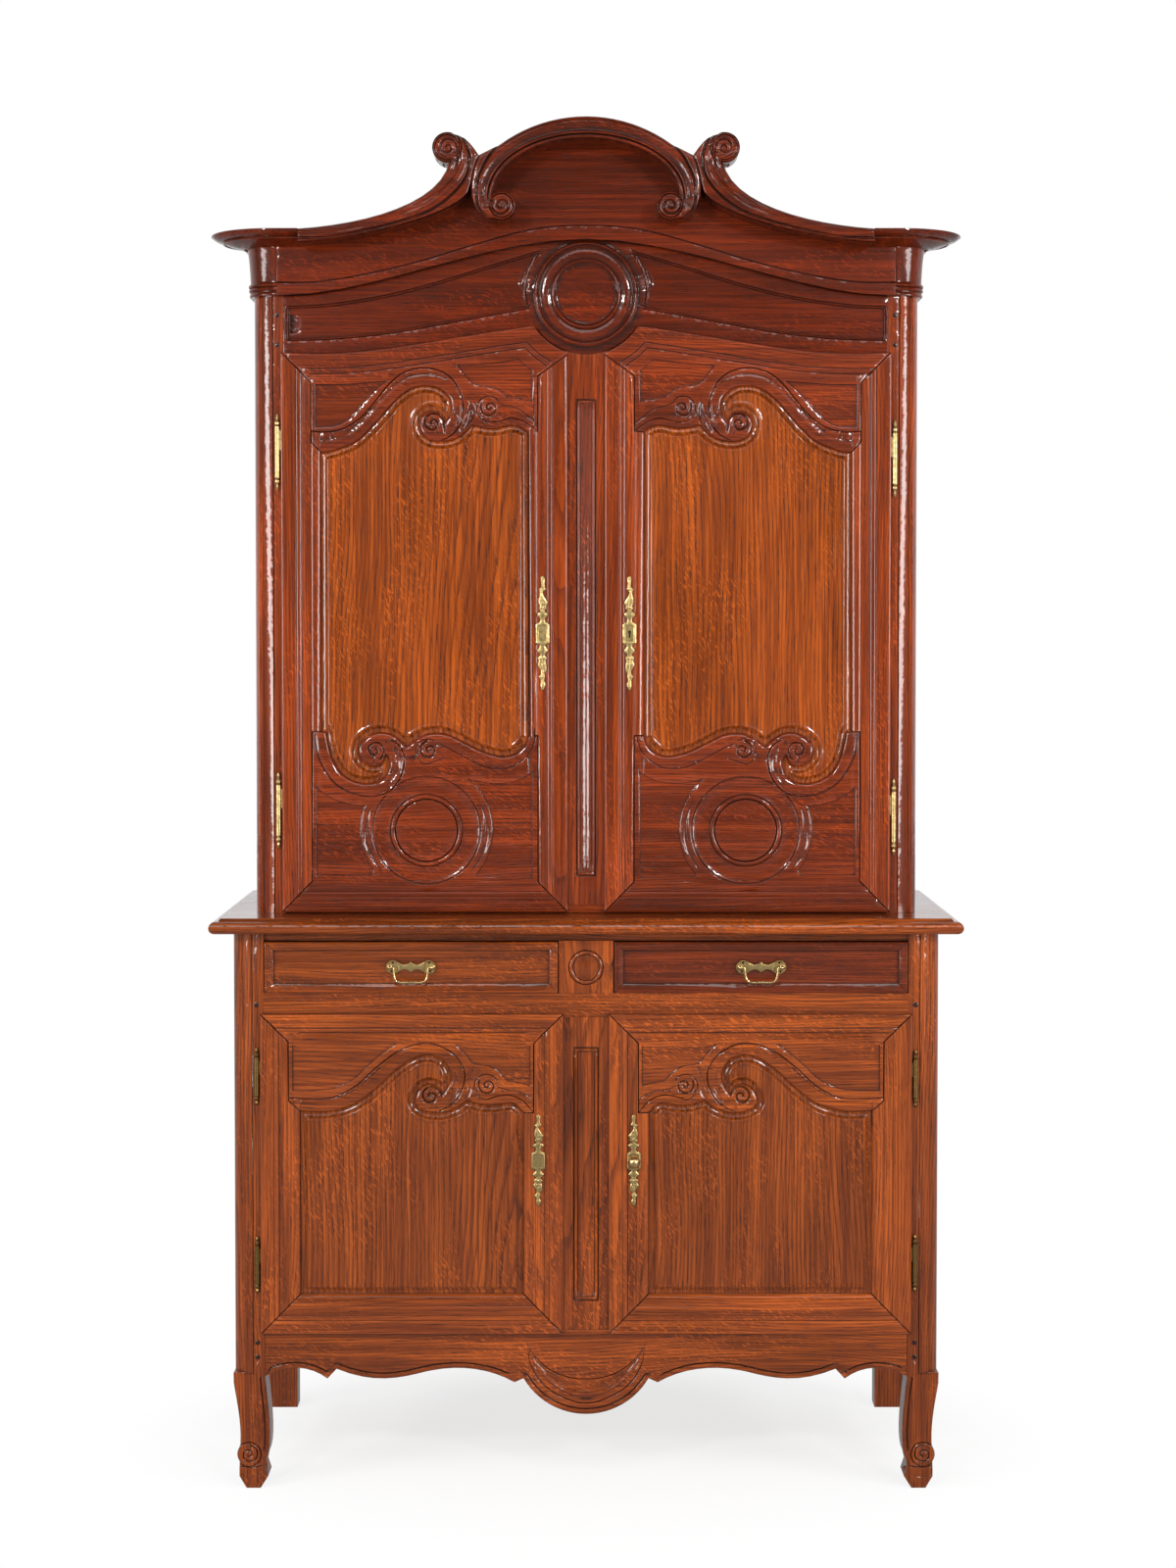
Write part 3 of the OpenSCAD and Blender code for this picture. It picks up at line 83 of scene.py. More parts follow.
class Nodes:
    """A small helper that adds and joins the nodes of one tree."""

    def __init__(self, tree: bpy.types.NodeTree) -> None:
        """Takes the tree and empties it."""
        self.tree = tree
        tree.nodes.clear()

    def add(self, kind: str, links: dict[str | int, object] | None = None, **settings: object) -> bpy.types.Node:
        """Adds a node.

        Args:
            kind: The node's type name.
            links: Input name or index to a socket to join or a value to set.
            settings: Properties of the node.

        Returns:
            The new node.
        """
        node = self.tree.nodes.new(kind)
        for name, value in settings.items():
            setattr(node, name, value)
        for name, value in (links or {}).items():
            if isinstance(value, bpy.types.NodeSocket):
                self.tree.links.new(value, node.inputs[name])
            else:
                node.inputs[name].default_value = value
        return node

    def math(self, operation: str, a: object, b: object = 0.0, c: object = 0.0) -> bpy.types.NodeSocket:
        """Adds a Math node and returns its result."""
        links: dict[str | int, object] = {0: a, 1: b}
        if operation in ("MULTIPLY_ADD", "COMPARE"):
            links[2] = c
        return self.add("ShaderNodeMath", links, operation=operation).outputs[0]

    def ramp(self, value: bpy.types.NodeSocket, low: float, high: float, start: float = 0.0,
             end: float = 1.0) -> bpy.types.NodeSocket:
        """Maps a value smoothly from one range to another."""
        links = {0: value, 1: low, 2: high, 3: start, 4: end}
        return self.add("ShaderNodeMapRange", links, interpolation_type="SMOOTHSTEP").outputs[0]

    def plus(self, a: object, b: object) -> bpy.types.NodeSocket:
        """Adds two values."""
        return self.math("ADD", a, b)

    def times(self, a: object, b: object) -> bpy.types.NodeSocket:
        """Multiplies two values."""
        return self.math("MULTIPLY", a, b)

    def scaled(self, vector: bpy.types.NodeSocket, factors: tuple[float, float, float]) -> bpy.types.NodeSocket:
        """Multiplies a vector by three factors."""
        return self.add("ShaderNodeVectorMath", {0: vector, 1: factors}, operation="MULTIPLY").outputs[0]

    def mix(self, share: object, a: object, b: object) -> bpy.types.NodeSocket:
        """Mixes two colours."""
        return self.add("ShaderNodeMix", {0: share, 6: a, 7: b}, data_type="RGBA").outputs[2]

    def bump(self, strength: float, distance: float, height: bpy.types.NodeSocket) -> bpy.types.NodeSocket:
        """Turns a height into a bumpy surface direction."""
        return self.add("ShaderNodeBump", {"Strength": strength, "Distance": distance, "Height": height}).outputs[0]

    def attribute(self, name: str) -> bpy.types.NodeSocket:
        """Reads a value that the carving left on the mesh."""
        return self.add("ShaderNodeAttribute", attribute_name=name).outputs["Fac"]

    def creases(self, distance: float) -> bpy.types.NodeSocket:
        """Gives 1 on open surfaces and less in creases."""
        return self.add("ShaderNodeAmbientOcclusion", {"Distance": distance}, samples=4, only_local=True).outputs["AO"]

    def noise(self, vector: bpy.types.NodeSocket, scale: float, detail: float = 3.0, rough: float = 0.55,
              distortion: float = 0.0) -> bpy.types.NodeSocket:
        """Adds a Noise Texture and returns its value."""
        links = {"Vector": vector, "Scale": scale, "Detail": detail, "Roughness": rough, "Distortion": distortion}
        return self.add("ShaderNodeTexNoise", links).outputs["Fac"]


def open_material(name: str) -> tuple[bpy.types.Material, Nodes]:
    """Makes an empty material and the helper that fills it."""
    material = bpy.data.materials.new(name)
    material.use_nodes = True
    return material, Nodes(material.node_tree)


@dataclass
class Board:
    """A board's coordinates in a material: across its fibres, into its face and along the fibres."""

    n: Nodes
    place: bpy.types.NodeSocket
    grain: Grain
    shift: float

    def __post_init__(self) -> None:
        """Finds the coordinates and moves them by the shift, so that boards differ."""
        n = self.n
        x, y, z = n.add("ShaderNodeSeparateXYZ", {0: self.place}).outputs
        if self.grain is Grain.RAILS:
            # Side rails run back to front and the rear rails run across
            rear = n.math("GREATER_THAN", y, REAR_RAIL_Y)
            across, self.depth, along = (n.math("MULTIPLY_ADD", rear, n.math("SUBTRACT", there, here), here)
                                         for here, there in ((x, z), (z, y), (y, x)))
        else:
            across, self.depth, along = {Grain.UPRIGHT: (x, y, z), Grain.ACROSS: (z, y, x), Grain.DEEP: (x, z, y),
                                         Grain.FLANK: (y, x, z)}[self.grain]
        self.across = n.plus(across, 0.13 * self.shift)
        self.along = n.plus(along, 2.3 * self.shift)
        self.spot = n.add("ShaderNodeCombineXYZ", {0: self.across, 1: self.depth, 2: self.along}).outputs[0]

    def noise(self, sideways: float, lengthways: float, detail: float = 3.0,
            rough: float = 0.55) -> bpy.types.NodeSocket:
        """Adds noise with a fineness across the fibres and one along them."""
        return self.n.noise(self.n.scaled(self.spot, (sideways, sideways, lengthways)), 1.0, detail, rough)

    def flecks(self) -> bpy.types.NodeSocket:
        """Draws the slanted, patchy flecks of the oak's rays."""
        n = self.n
        lean = n.math("MULTIPLY_ADD", self.along, 0.45, self.across)
        slanted = n.add("ShaderNodeCombineXYZ", {0: lean, 1: self.depth, 2: self.along}).outputs[0]
        field = n.noise(n.scaled(slanted, (330.0, 330.0, 90.0)), 1.0, 1.0, 0.4, 0.5)
        return n.times(n.ramp(field, 0.57, 0.66), n.ramp(self.noise(11.0, 3.0, 2.0), 0.45, 0.62))


@dataclass(frozen=True)
class OakFinish:
    """Waxed oak: tones, ring pattern, pores, ray fleck and gloss."""

    name: str
    light: tuple[int, int, int]
    dark: tuple[int, int, int]
    # Colour of the pores and of the painted shade and dirt in creases and hollows
    dirt_and_shade_tone: tuple[int, int, int] = (14, 5, 2)
    gloss: float = 0.30
    coat: float = 0.75
    ring: float = 0.0052
    lines: float = 0.62
    tilt: float = 0.03
    centre: tuple[float, float] = (0.03, -0.09)
    fleck: float = 0.5
    worn: float = 0.25
    streaks: float = 0.74

    def early_wood(self, board: Board, seed: int) -> bpy.types.NodeSocket:
        """Draws growth rings: nested cones round a slightly tilted heart, bent by slow noise."""
        n = board.n
        heart = self.centre[0] - 0.13 * board.shift + 0.06 * math.sin(seed * 2.1)
        sway = n.math("MULTIPLY_ADD", board.noise(4.0, 1.1, 2.0, 0.5), 0.12, -0.06)
        waver = n.math("MULTIPLY_ADD", board.noise(22.0, 4.0, 2.0, 0.5), 0.016, -0.008)
        off_a = n.plus(n.plus(board.across, heart), sway)
        off_d = n.plus(n.math("MULTIPLY_ADD", board.along, self.tilt, self.centre[1]), n.times(board.depth, 0.6))
        off_d = n.plus(off_d, waver)
        radius = n.math("SQRT", n.plus(n.times(off_a, off_a), n.times(off_d, off_d)))
        phase = n.math("FRACT", n.times(radius, 1 / self.ring))
        return n.math("SUBTRACT", 1.0, n.ramp(phase, 0.02, 0.5))

    def tinted(self, lift: float, add: float = 0.0) -> tuple[float, float, float, float]:
        """Gives the light tone, made paler."""
        return tuple(min(1.0, c * lift + add) for c in linear(*self.light)[:3]) + (1.0,)

    def build(self, grain: Grain, seed: int = 0) -> bpy.types.Material:
        """Makes the material.

        Args:
            grain: Direction of the fibres.
            seed: Shifts the pattern so that boards differ.

        Returns:
            The oak material.
        """
        key = f"{self.name}_{grain.value}_{seed}"
        if key in bpy.data.materials:
            return bpy.data.materials[key]
        material, n = open_material(key)
        place = n.add("ShaderNodeTexCoord").outputs["Object"]
        board = Board(n, place, grain, (seed * 0.377) % 1.9)
        early = self.early_wood(board, seed)
        fibre = board.noise(250.0, 5.0, 5.0, 0.7)
        streak = board.noise(48.0, 1.3, 4.0, 0.6)
        cloud = board.noise(5.0, 2.0, 3.0)
        pores = n.times(n.ramp(board.noise(640.0, 26.0, 2.0), 0.54, 0.64), n.math("MULTIPLY_ADD", early, 0.7, 0.3))
        # Colour
        light, dark, dirt_and_shade_tone = linear(*self.light), linear(*self.dark), linear(*self.dirt_and_shade_tone)
        colour = n.mix(n.ramp(streak, 0.36, 0.62, 0.0, self.streaks), light, dark)
        colour = n.mix(n.times(early, self.lines), colour, dark)
        colour = n.mix(n.ramp(fibre, 0.44, 0.60, 0.0, 0.72), colour, dark)
        colour = n.mix(n.times(board.flecks(), self.fleck), colour, self.tinted(1.5))
        colour = n.mix(n.times(pores, 0.8), colour, dirt_and_shade_tone)
        level = n.ramp(cloud, 0.28, 0.72, 0.80, 1.20)
        colour = n.add("ShaderNodeHueSaturation", {"Value": level, "Color": colour}).outputs[0]
        # Painted shade and dirt in creases and hollows, and paler wax on worn edges
        # Ambient occlusion darkens the creases: painted shade
        crease_shade = n.ramp(n.creases(0.012), 0.35, 0.95, 0.75, 0.0)
        spotty = n.ramp(board.noise(60.0, 30.0, 3.0), 0.3, 0.7, 0.82, 1.0)
        # The carving's bend darkens its hollows too: painted shade together with dirt
        dirt_and_shade_mask = n.times(n.math("MINIMUM", n.plus(n.attribute("hollow"), crease_shade), 1.0), spotty)
        colour = n.mix(n.times(dirt_and_shade_mask, 0.96), colour, dirt_and_shade_tone)
        rubbed = n.times(n.times(n.attribute("ridge"), self.worn), spotty)
        colour = n.mix(rubbed, colour, self.tinted(1.35, 0.01))
        # Surface
        rough = n.plus(n.math("MULTIPLY_ADD", pores, 0.25, self.gloss), n.times(dirt_and_shade_mask, 0.25))
        rough = n.plus(rough, n.ramp(cloud, 0.3, 0.8, -0.04, 0.08))
        height = n.plus(n.times(pores, -1.0), n.times(fibre, 0.30))
        height = n.plus(height, n.times(early, -0.2))
        height = n.plus(height, n.times(n.noise(place, 38.0, 2.0), 0.3))
        # The wax lies smooth over the pores and shows the hand plane's shallow waves
        waves = n.bump(0.6, 0.0016, n.noise(place, 46.0, 2.0))
        links = {"Base Color": colour, "Roughness": rough, "Normal": n.bump(0.32, 0.0006, height),
                 "Coat Weight": self.coat, "Coat Roughness": 0.09, "Specular IOR Level": 0.1, "Coat Normal": waves}
        n.add("ShaderNodeOutputMaterial", {0: n.add("ShaderNodeBsdfPrincipled", links).outputs[0]})
        return material


@dataclass(frozen=True)
class BrassFinish:
    """Aged brass: bright on high spots, brown and green in the hollows."""

    name: str
    bright: tuple[int, int, int]
    patina: tuple[int, int, int]
    gloss: float = 0.28

    def build(self) -> bpy.types.Material:
        """Makes the brass material.

        Returns:
            The brass material.
        """
        if self.name in bpy.data.materials:
            return bpy.data.materials[self.name]
        material, n = open_material(self.name)
        place = n.add("ShaderNodeTexCoord").outputs["Object"]
        blotch = n.noise(place, 160.0, 4.0, 0.6)
        fine = n.noise(place, 1100.0, 3.0, 0.6)
        dull = n.plus(n.ramp(blotch, 0.38, 0.68, 0.0, 0.75), n.ramp(n.creases(0.004), 0.4, 1.0, 0.9, 0.0))
        dull = n.math("MINIMUM", n.plus(dull, n.attribute("hollow")), 1.0)
        colour = n.mix(n.times(dull, 0.8), linear(*self.bright), linear(*self.patina))
        green = n.times(n.ramp(n.noise(place, 90.0, 3.0), 0.55, 0.75), dull)
        colour = n.mix(n.times(green, 0.2), colour, linear(82, 84, 54))
        rough = n.math("MULTIPLY_ADD", dull, 0.28, self.gloss)
        bump = n.bump(0.35, 0.0003, n.plus(n.times(blotch, 0.6), n.times(fine, 0.25)))
        links = {"Base Color": colour, "Metallic": 1.0, "Roughness": rough, "Normal": bump}
        n.add("ShaderNodeOutputMaterial", {0: n.add("ShaderNodeBsdfPrincipled", links).outputs[0]})
        return material


UPPER_OAK = OakFinish("upper_oak", (142, 57, 13), (78, 25, 4))
LOWER_OAK = OakFinish("lower_oak", (144, 66, 16), (78, 30, 6), ring=0.006)
DARK_OAK = OakFinish("dark_oak", (112, 42, 9), (64, 20, 3))
CARVED_OAK = OakFinish("carved_oak", (124, 46, 11), (68, 21, 4))
PANEL_OAK = OakFinish("panel_oak", (150, 69, 16), (88, 34, 6), ring=0.0075, tilt=0.06, centre=(0.05, 0.12),
                      fleck=0.55, lines=0.72, streaks=0.55)
LOWER_PANEL_OAK = replace(PANEL_OAK, name="lower_panel_oak", light=(134, 62, 14), dark=(76, 29, 6))
FRIEZE_OAK = OakFinish("frieze_oak", (102, 31, 2), (58, 15, 1), lines=0.35, coat=0.5)
PLUG_OAK = OakFinish("plug_oak", (52, 26, 14), (28, 13, 8), gloss=0.4)
INSIDE_OAK = OakFinish("inside_oak", (178, 140, 98), (132, 94, 58), dirt_and_shade_tone=(80, 56, 36), gloss=0.62, coat=0.0, worn=0.1)
# A darker copy of the aged brass for the lower hinges and their collars: painted shade, as they sit in shadow
LOWER_SHADED_BRASS = BrassFinish("dark_brass", (142, 112, 66), (78, 60, 34))
AGED_BRASS = BrassFinish("aged_brass", (206, 178, 122), (112, 90, 50))
KNOB_BRASS = BrassFinish("knob_brass", (226, 196, 138), (158, 128, 78), gloss=0.16)


# ---------------------------------------------------------------- carving
# Closest spacing of distinct points, in millimetres
SAME = 0.05
# Most pairs of points and line pieces that are measured at once
BATCH = 1500000


def smooth(points: Line, step: float = 3.0) -> Array:
    """Draws a smooth curve through points.

    Args:
        points: The points, in millimetres.
        step: Distance between the points of the result.

    Returns:
        The points of the curve, ends included.
    """
    p = np.array(points, float)
    if len(p) < 3:
        count = max(2, int(np.hypot(*(p[-1] - p[0])) / step) + 1)
        return p[0] + np.linspace(0, 1, count)[:, None] * (p[-1] - p[0])
    chord = np.hypot(*np.diff(p, axis=0).T)
    knots = np.concatenate([[0], np.cumsum(np.sqrt(chord))])
    slope = np.diff(p, axis=0) / np.diff(knots)[:, None]
    left, right = np.diff(knots)[:-1, None], np.diff(knots)[1:, None]
    inner = (slope[:-1] * right + slope[1:] * left) / (left + right)
    tangent = np.concatenate([1.5 * slope[:1] - 0.5 * inner[:1], inner, 1.5 * slope[-1:] - 0.5 * inner[-1:]])
    out = [p[:1]]
    for i, length in enumerate(chord):
        t = np.linspace(0, 1, max(2, int(length / step) + 1))[1:, None]
        span = knots[i + 1] - knots[i]
        out.append((2 * t**3 - 3 * t**2 + 1) * p[i] + (t**3 - 2 * t**2 + t) * span * tangent[i]
                   + (3 * t**2 - 2 * t**3) * p[i + 1] + (t**3 - t**2) * span * tangent[i + 1])
    return np.concatenate(out)


def chain(*parts: Array | Line) -> Array:
    """Joins lines end to end and drops doubled points."""
    joined = np.concatenate([np.array(part, float) for part in parts])
    keep = np.concatenate([[True], np.hypot(*np.diff(joined, axis=0).T) > SAME])
    return joined[keep]


def bow(centre: tuple[float, float], r: float | tuple[float, float], start: float, end: float,
        step: float = 3.0) -> Array:
    """Draws an arc or a spiral.

    Args:
        centre: Its middle.
        r: Its radius, or the radii at the start and at the end.
        start: Start angle in degrees, anticlockwise from the right.
        end: End angle in degrees.
        step: Distance between the points of the result.

    Returns:
        The points of the arc.
    """
    r0, r1 = r if isinstance(r, tuple) else (r, r)
    count = max(4, int(math.radians(abs(end - start)) * (r0 + r1) / 2 / step) + 1)
    turn = np.radians(np.linspace(start, end, count))
    radius = np.linspace(r0, r1, count)
    return np.stack([centre[0] + radius * np.cos(turn), centre[1] + radius * np.sin(turn)], 1)


def ring(centre: tuple[float, float], r: float, step: float = 3.0) -> Array:
    """Draws a closed circle."""
    return bow(centre, r, 0, 360, step)


def flip(line: Array | Line) -> Array:
    """Mirrors a line left to right and keeps its sense of turning."""
    return (np.array(line, float) * (-1, 1))[::-1]


def facing(hand: int) -> Callable[[Array | Line], Array]:
    """Gives what turns a line of the left side into one of this side: 1 is the left and -1 the right."""
    return flip if hand < 0 else lambda line: np.array(line, float)


def mirrored(half: Line) -> Line:
    """Completes a line whose left half ends on the middle."""
    return half + [(-x, z) for x, z in half[-2::-1]]


def taper(ends: float, widest: float = 0.5) -> Profile:
    """Lists the swell of a cut that narrows to both of its ends."""
    return [(0, ends), (widest, 1), (1, ends)]


def nearest(points: Array, line: Array) -> tuple[Array, Array, Array]:
    """Measures points against a line.

    Args:
        points: The points.
        line: The line's points.

    Returns:
        Each point's distance, its side (1 on the left) and its place along the line from 0 to 1.
    """
    start, span = line[:-1], np.diff(line, axis=0)
    size = np.maximum((span**2).sum(1), 1e-9)
    along = np.concatenate([[0], np.cumsum(np.sqrt(size))])
    out = []
    for chunk in np.array_split(points, len(points) * len(start) // BATCH + 1):
        rel = chunk[:, None] - start[None]
        t = np.clip((rel * span).sum(2) / size, 0, 1)
        gap = rel - t[..., None] * span
        square = (gap**2).sum(2)
        k, rows = square.argmin(1), np.arange(len(chunk))
        side = np.sign(span[k, 0] * gap[rows, k, 1] - span[k, 1] * gap[rows, k, 0])
        out.append(np.stack([np.sqrt(square[rows, k]), side, (along[k] + t[rows, k] * np.sqrt(size[k])) / along[-1]]))
    return tuple(np.concatenate(out, axis=1))


def closed(loop: Array | Line) -> Array:
    """Closes a line and turns it anticlockwise, so that its inside lies on the left."""
    loop = np.array(loop, float)
    if np.hypot(*(loop[0] - loop[-1])) < 0.1:
        loop = loop[:-1]
    x, z = loop.T
    area = (x * np.roll(z, -1) - np.roll(x, -1) * z).sum()
    loop = loop if area > 0 else loop[::-1]
    return np.concatenate([loop, loop[:1]])


def within(points: Array, loop: Array) -> Array:
    """Tells which points lie inside a closed line."""
    x, z = points[:, 0, None], points[:, 1, None]
    x0, z0 = loop[:, 0], loop[:, 1]
    x1, z1 = np.roll(x0, -1), np.roll(z0, -1)
    with np.errstate(divide="ignore", invalid="ignore"):
        hit = ((z0 > z) != (z1 > z)) & (x < (x1 - x0) * (z - z0) / (z1 - z0) + x0)
    return hit.sum(1) % 2 == 1


def shifted(line: Array, distance: float) -> list[Array]:
    """Draws the lines that keep a distance from a line, on its left where positive.

    Args:
        line: The line's points.
        distance: The distance; a piece that would come closer to the line is left out.

    Returns:
        The pieces that remain.
    """
    if abs(distance) < SAME:
        return [line]
    closed = np.hypot(*(line[0] - line[-1])) < 0.1
    p = line[:-1] if closed else line
    before, after = (np.roll(p, 1, 0), np.roll(p, -1, 0)) if closed else (
        np.concatenate([2 * p[:1] - p[1:2], p[:-1]]), np.concatenate([p[1:], 2 * p[-1:] - p[-2:-1]]))
    d0, d1 = p - before, after - p
    d0, d1 = d0 / np.maximum(np.hypot(*d0.T), 1e-6)[:, None], d1 / np.maximum(np.hypot(*d1.T), 1e-6)[:, None]
    n0, n1 = np.stack([-d0[:, 1], d0[:, 0]], 1), np.stack([-d1[:, 1], d1[:, 0]], 1)
    mitre = n0 + n1
    mitre /= np.maximum((mitre * n0).sum(1), 0.35)[:, None]
    out = p + distance * mitre
    if closed:
        out = np.concatenate([out, out[:1]])
    good = nearest(out, line)[0] > abs(distance) * 0.97 - 0.02
    pieces, run = [], []
    for point, keep in zip(out, good):
        if keep:
            run.append(point)
        elif run:
            pieces.append(run)
            run = []
    pieces.append(run)
    return [np.array(piece) for piece in pieces if len(piece) > 1]


def edge_rows(loop: Array, table: Profile) -> list[Array]:
    """Draws the lines at a table's distances inside a closed line."""
    return [row for distance, _ in table if distance > SAME for row in shifted(loop, distance)]


def edge_level(loop: Array, table: Profile) -> Callable[[Array], Array]:
    """Gives the function that looks up heights by the distance from a closed line."""
    distances, levels = np.array(table, float).T
    return lambda points: np.interp(nearest(points, loop)[0], distances, levels)


@dataclass
class Carve:
    """One cut or moulding that follows a line.

    The profile lists distances from the line and heights there. A closed line with inside set is measured
    inwards, as a sunk field is; otherwise the profile is the same on both sides, or on one of them.
    """

    line: Array
    profile: Profile
    inside: bool = False
    side: int = 0
    raised: bool = False
    swell: Profile | None = None
    only: Array | None = None

    def heights(self, points: Array) -> Array:
        """Returns what the cut adds at each point, and 0 outside its reach."""
        table = np.array(self.profile, float)
        reach = max(table[-1, 0], 0.1)
        out = np.zeros(len(points))
        low, high = self.line.min(0) - reach, self.line.max(0) + reach
        near = np.nonzero(((points >= low) & (points <= high)).all(1))[0]
        if not len(near):
            return out
        spots = points[near]
        if self.inside:
            inner = within(spots, self.line)
            near, spots = near[inner], spots[inner]
            if not len(near):
                return out
            out[near] = np.interp(nearest(spots, self.line)[0], table[:, 0], table[:, 1])
            return out
        distance, side, share = nearest(spots, self.line)
        if self.swell:
            swell = np.array(self.swell, float)
            distance = distance / np.maximum(np.interp(share, swell[:, 0], swell[:, 1]), 0.02)
        value = np.interp(distance, table[:, 0], table[:, 1], right=0.0)
        if self.swell:
            value = value * np.minimum(1, np.interp(share, swell[:, 0], swell[:, 1]) * 1.3)
        if self.side:
            value = np.where((side == self.side) | (distance < 1e-6), value, 0.0)
        if self.only is not None:
            value = np.where(within(spots, self.only), value, 0.0)
        out[near] = value
        return out

    def rows(self) -> list[Array]:
        """Returns the lines along which the mesh needs vertices."""
        lines = [self.line]
        for distance, _ in self.profile:
            if distance < SAME:
                continue
            for side in (1, -1):
                if self.side in (0, side):
                    lines += shifted(self.line, side * distance)
        return lines


def groove(line: Array, width: float = 1.2, depth: float = 1.2, swell: Profile | None = None) -> Carve:
    """Makes an incised line."""
    return Carve(line, [(0, -depth), (width * 0.35, -depth * 0.55), (width, 0)], swell=swell)


def hollow(line: Array, half: float, depth: float, swell: Profile | None = None) -> Carve:
    """Makes a gouge cut with a round floor."""
    table = [(half * t, -depth * (1 - t * t)) for t in (0, 0.25, 0.5, 0.75, 0.9, 1)]
    return Carve(line, table, swell=swell)


def roll(line: Array, half: float, height: float, swell: Profile | None = None) -> Carve:
    """Makes a raised round moulding."""
    table = [(half * t, height * math.sqrt(max(0.0, 1 - t * t))) for t in (0, 0.25, 0.5, 0.7, 0.85, 0.95, 1)]
    return Carve(line, table, raised=True, swell=swell)


def sunk(loop: Array, depth: float, wall: float = 1.2, lip: float = 0.4) -> Carve:
    """Makes a sunk field with a soft edge."""
    table = [(0, -lip), (wall * 0.4, -depth * 0.75), (wall, -depth), (wall * 2, -depth)]
    return field_cut(closed(loop), table)


def bead(line: Array, half: float, height: float, depth: float) -> Carve:
    """Makes a raised round moulding between two incised lines."""
    table = [(0, height), (half * 0.45, height * 0.85), (half, 0.1), (half + 0.5, -depth), (half + 1.1, -depth),
             (half + 2.2, 0)]
    return Carve(line, table)


def field_cut(loop: Array, profile: Profile) -> Carve:
    """Shapes what lies inside a closed line."""
    return Carve(loop, profile, inside=True, side=1)


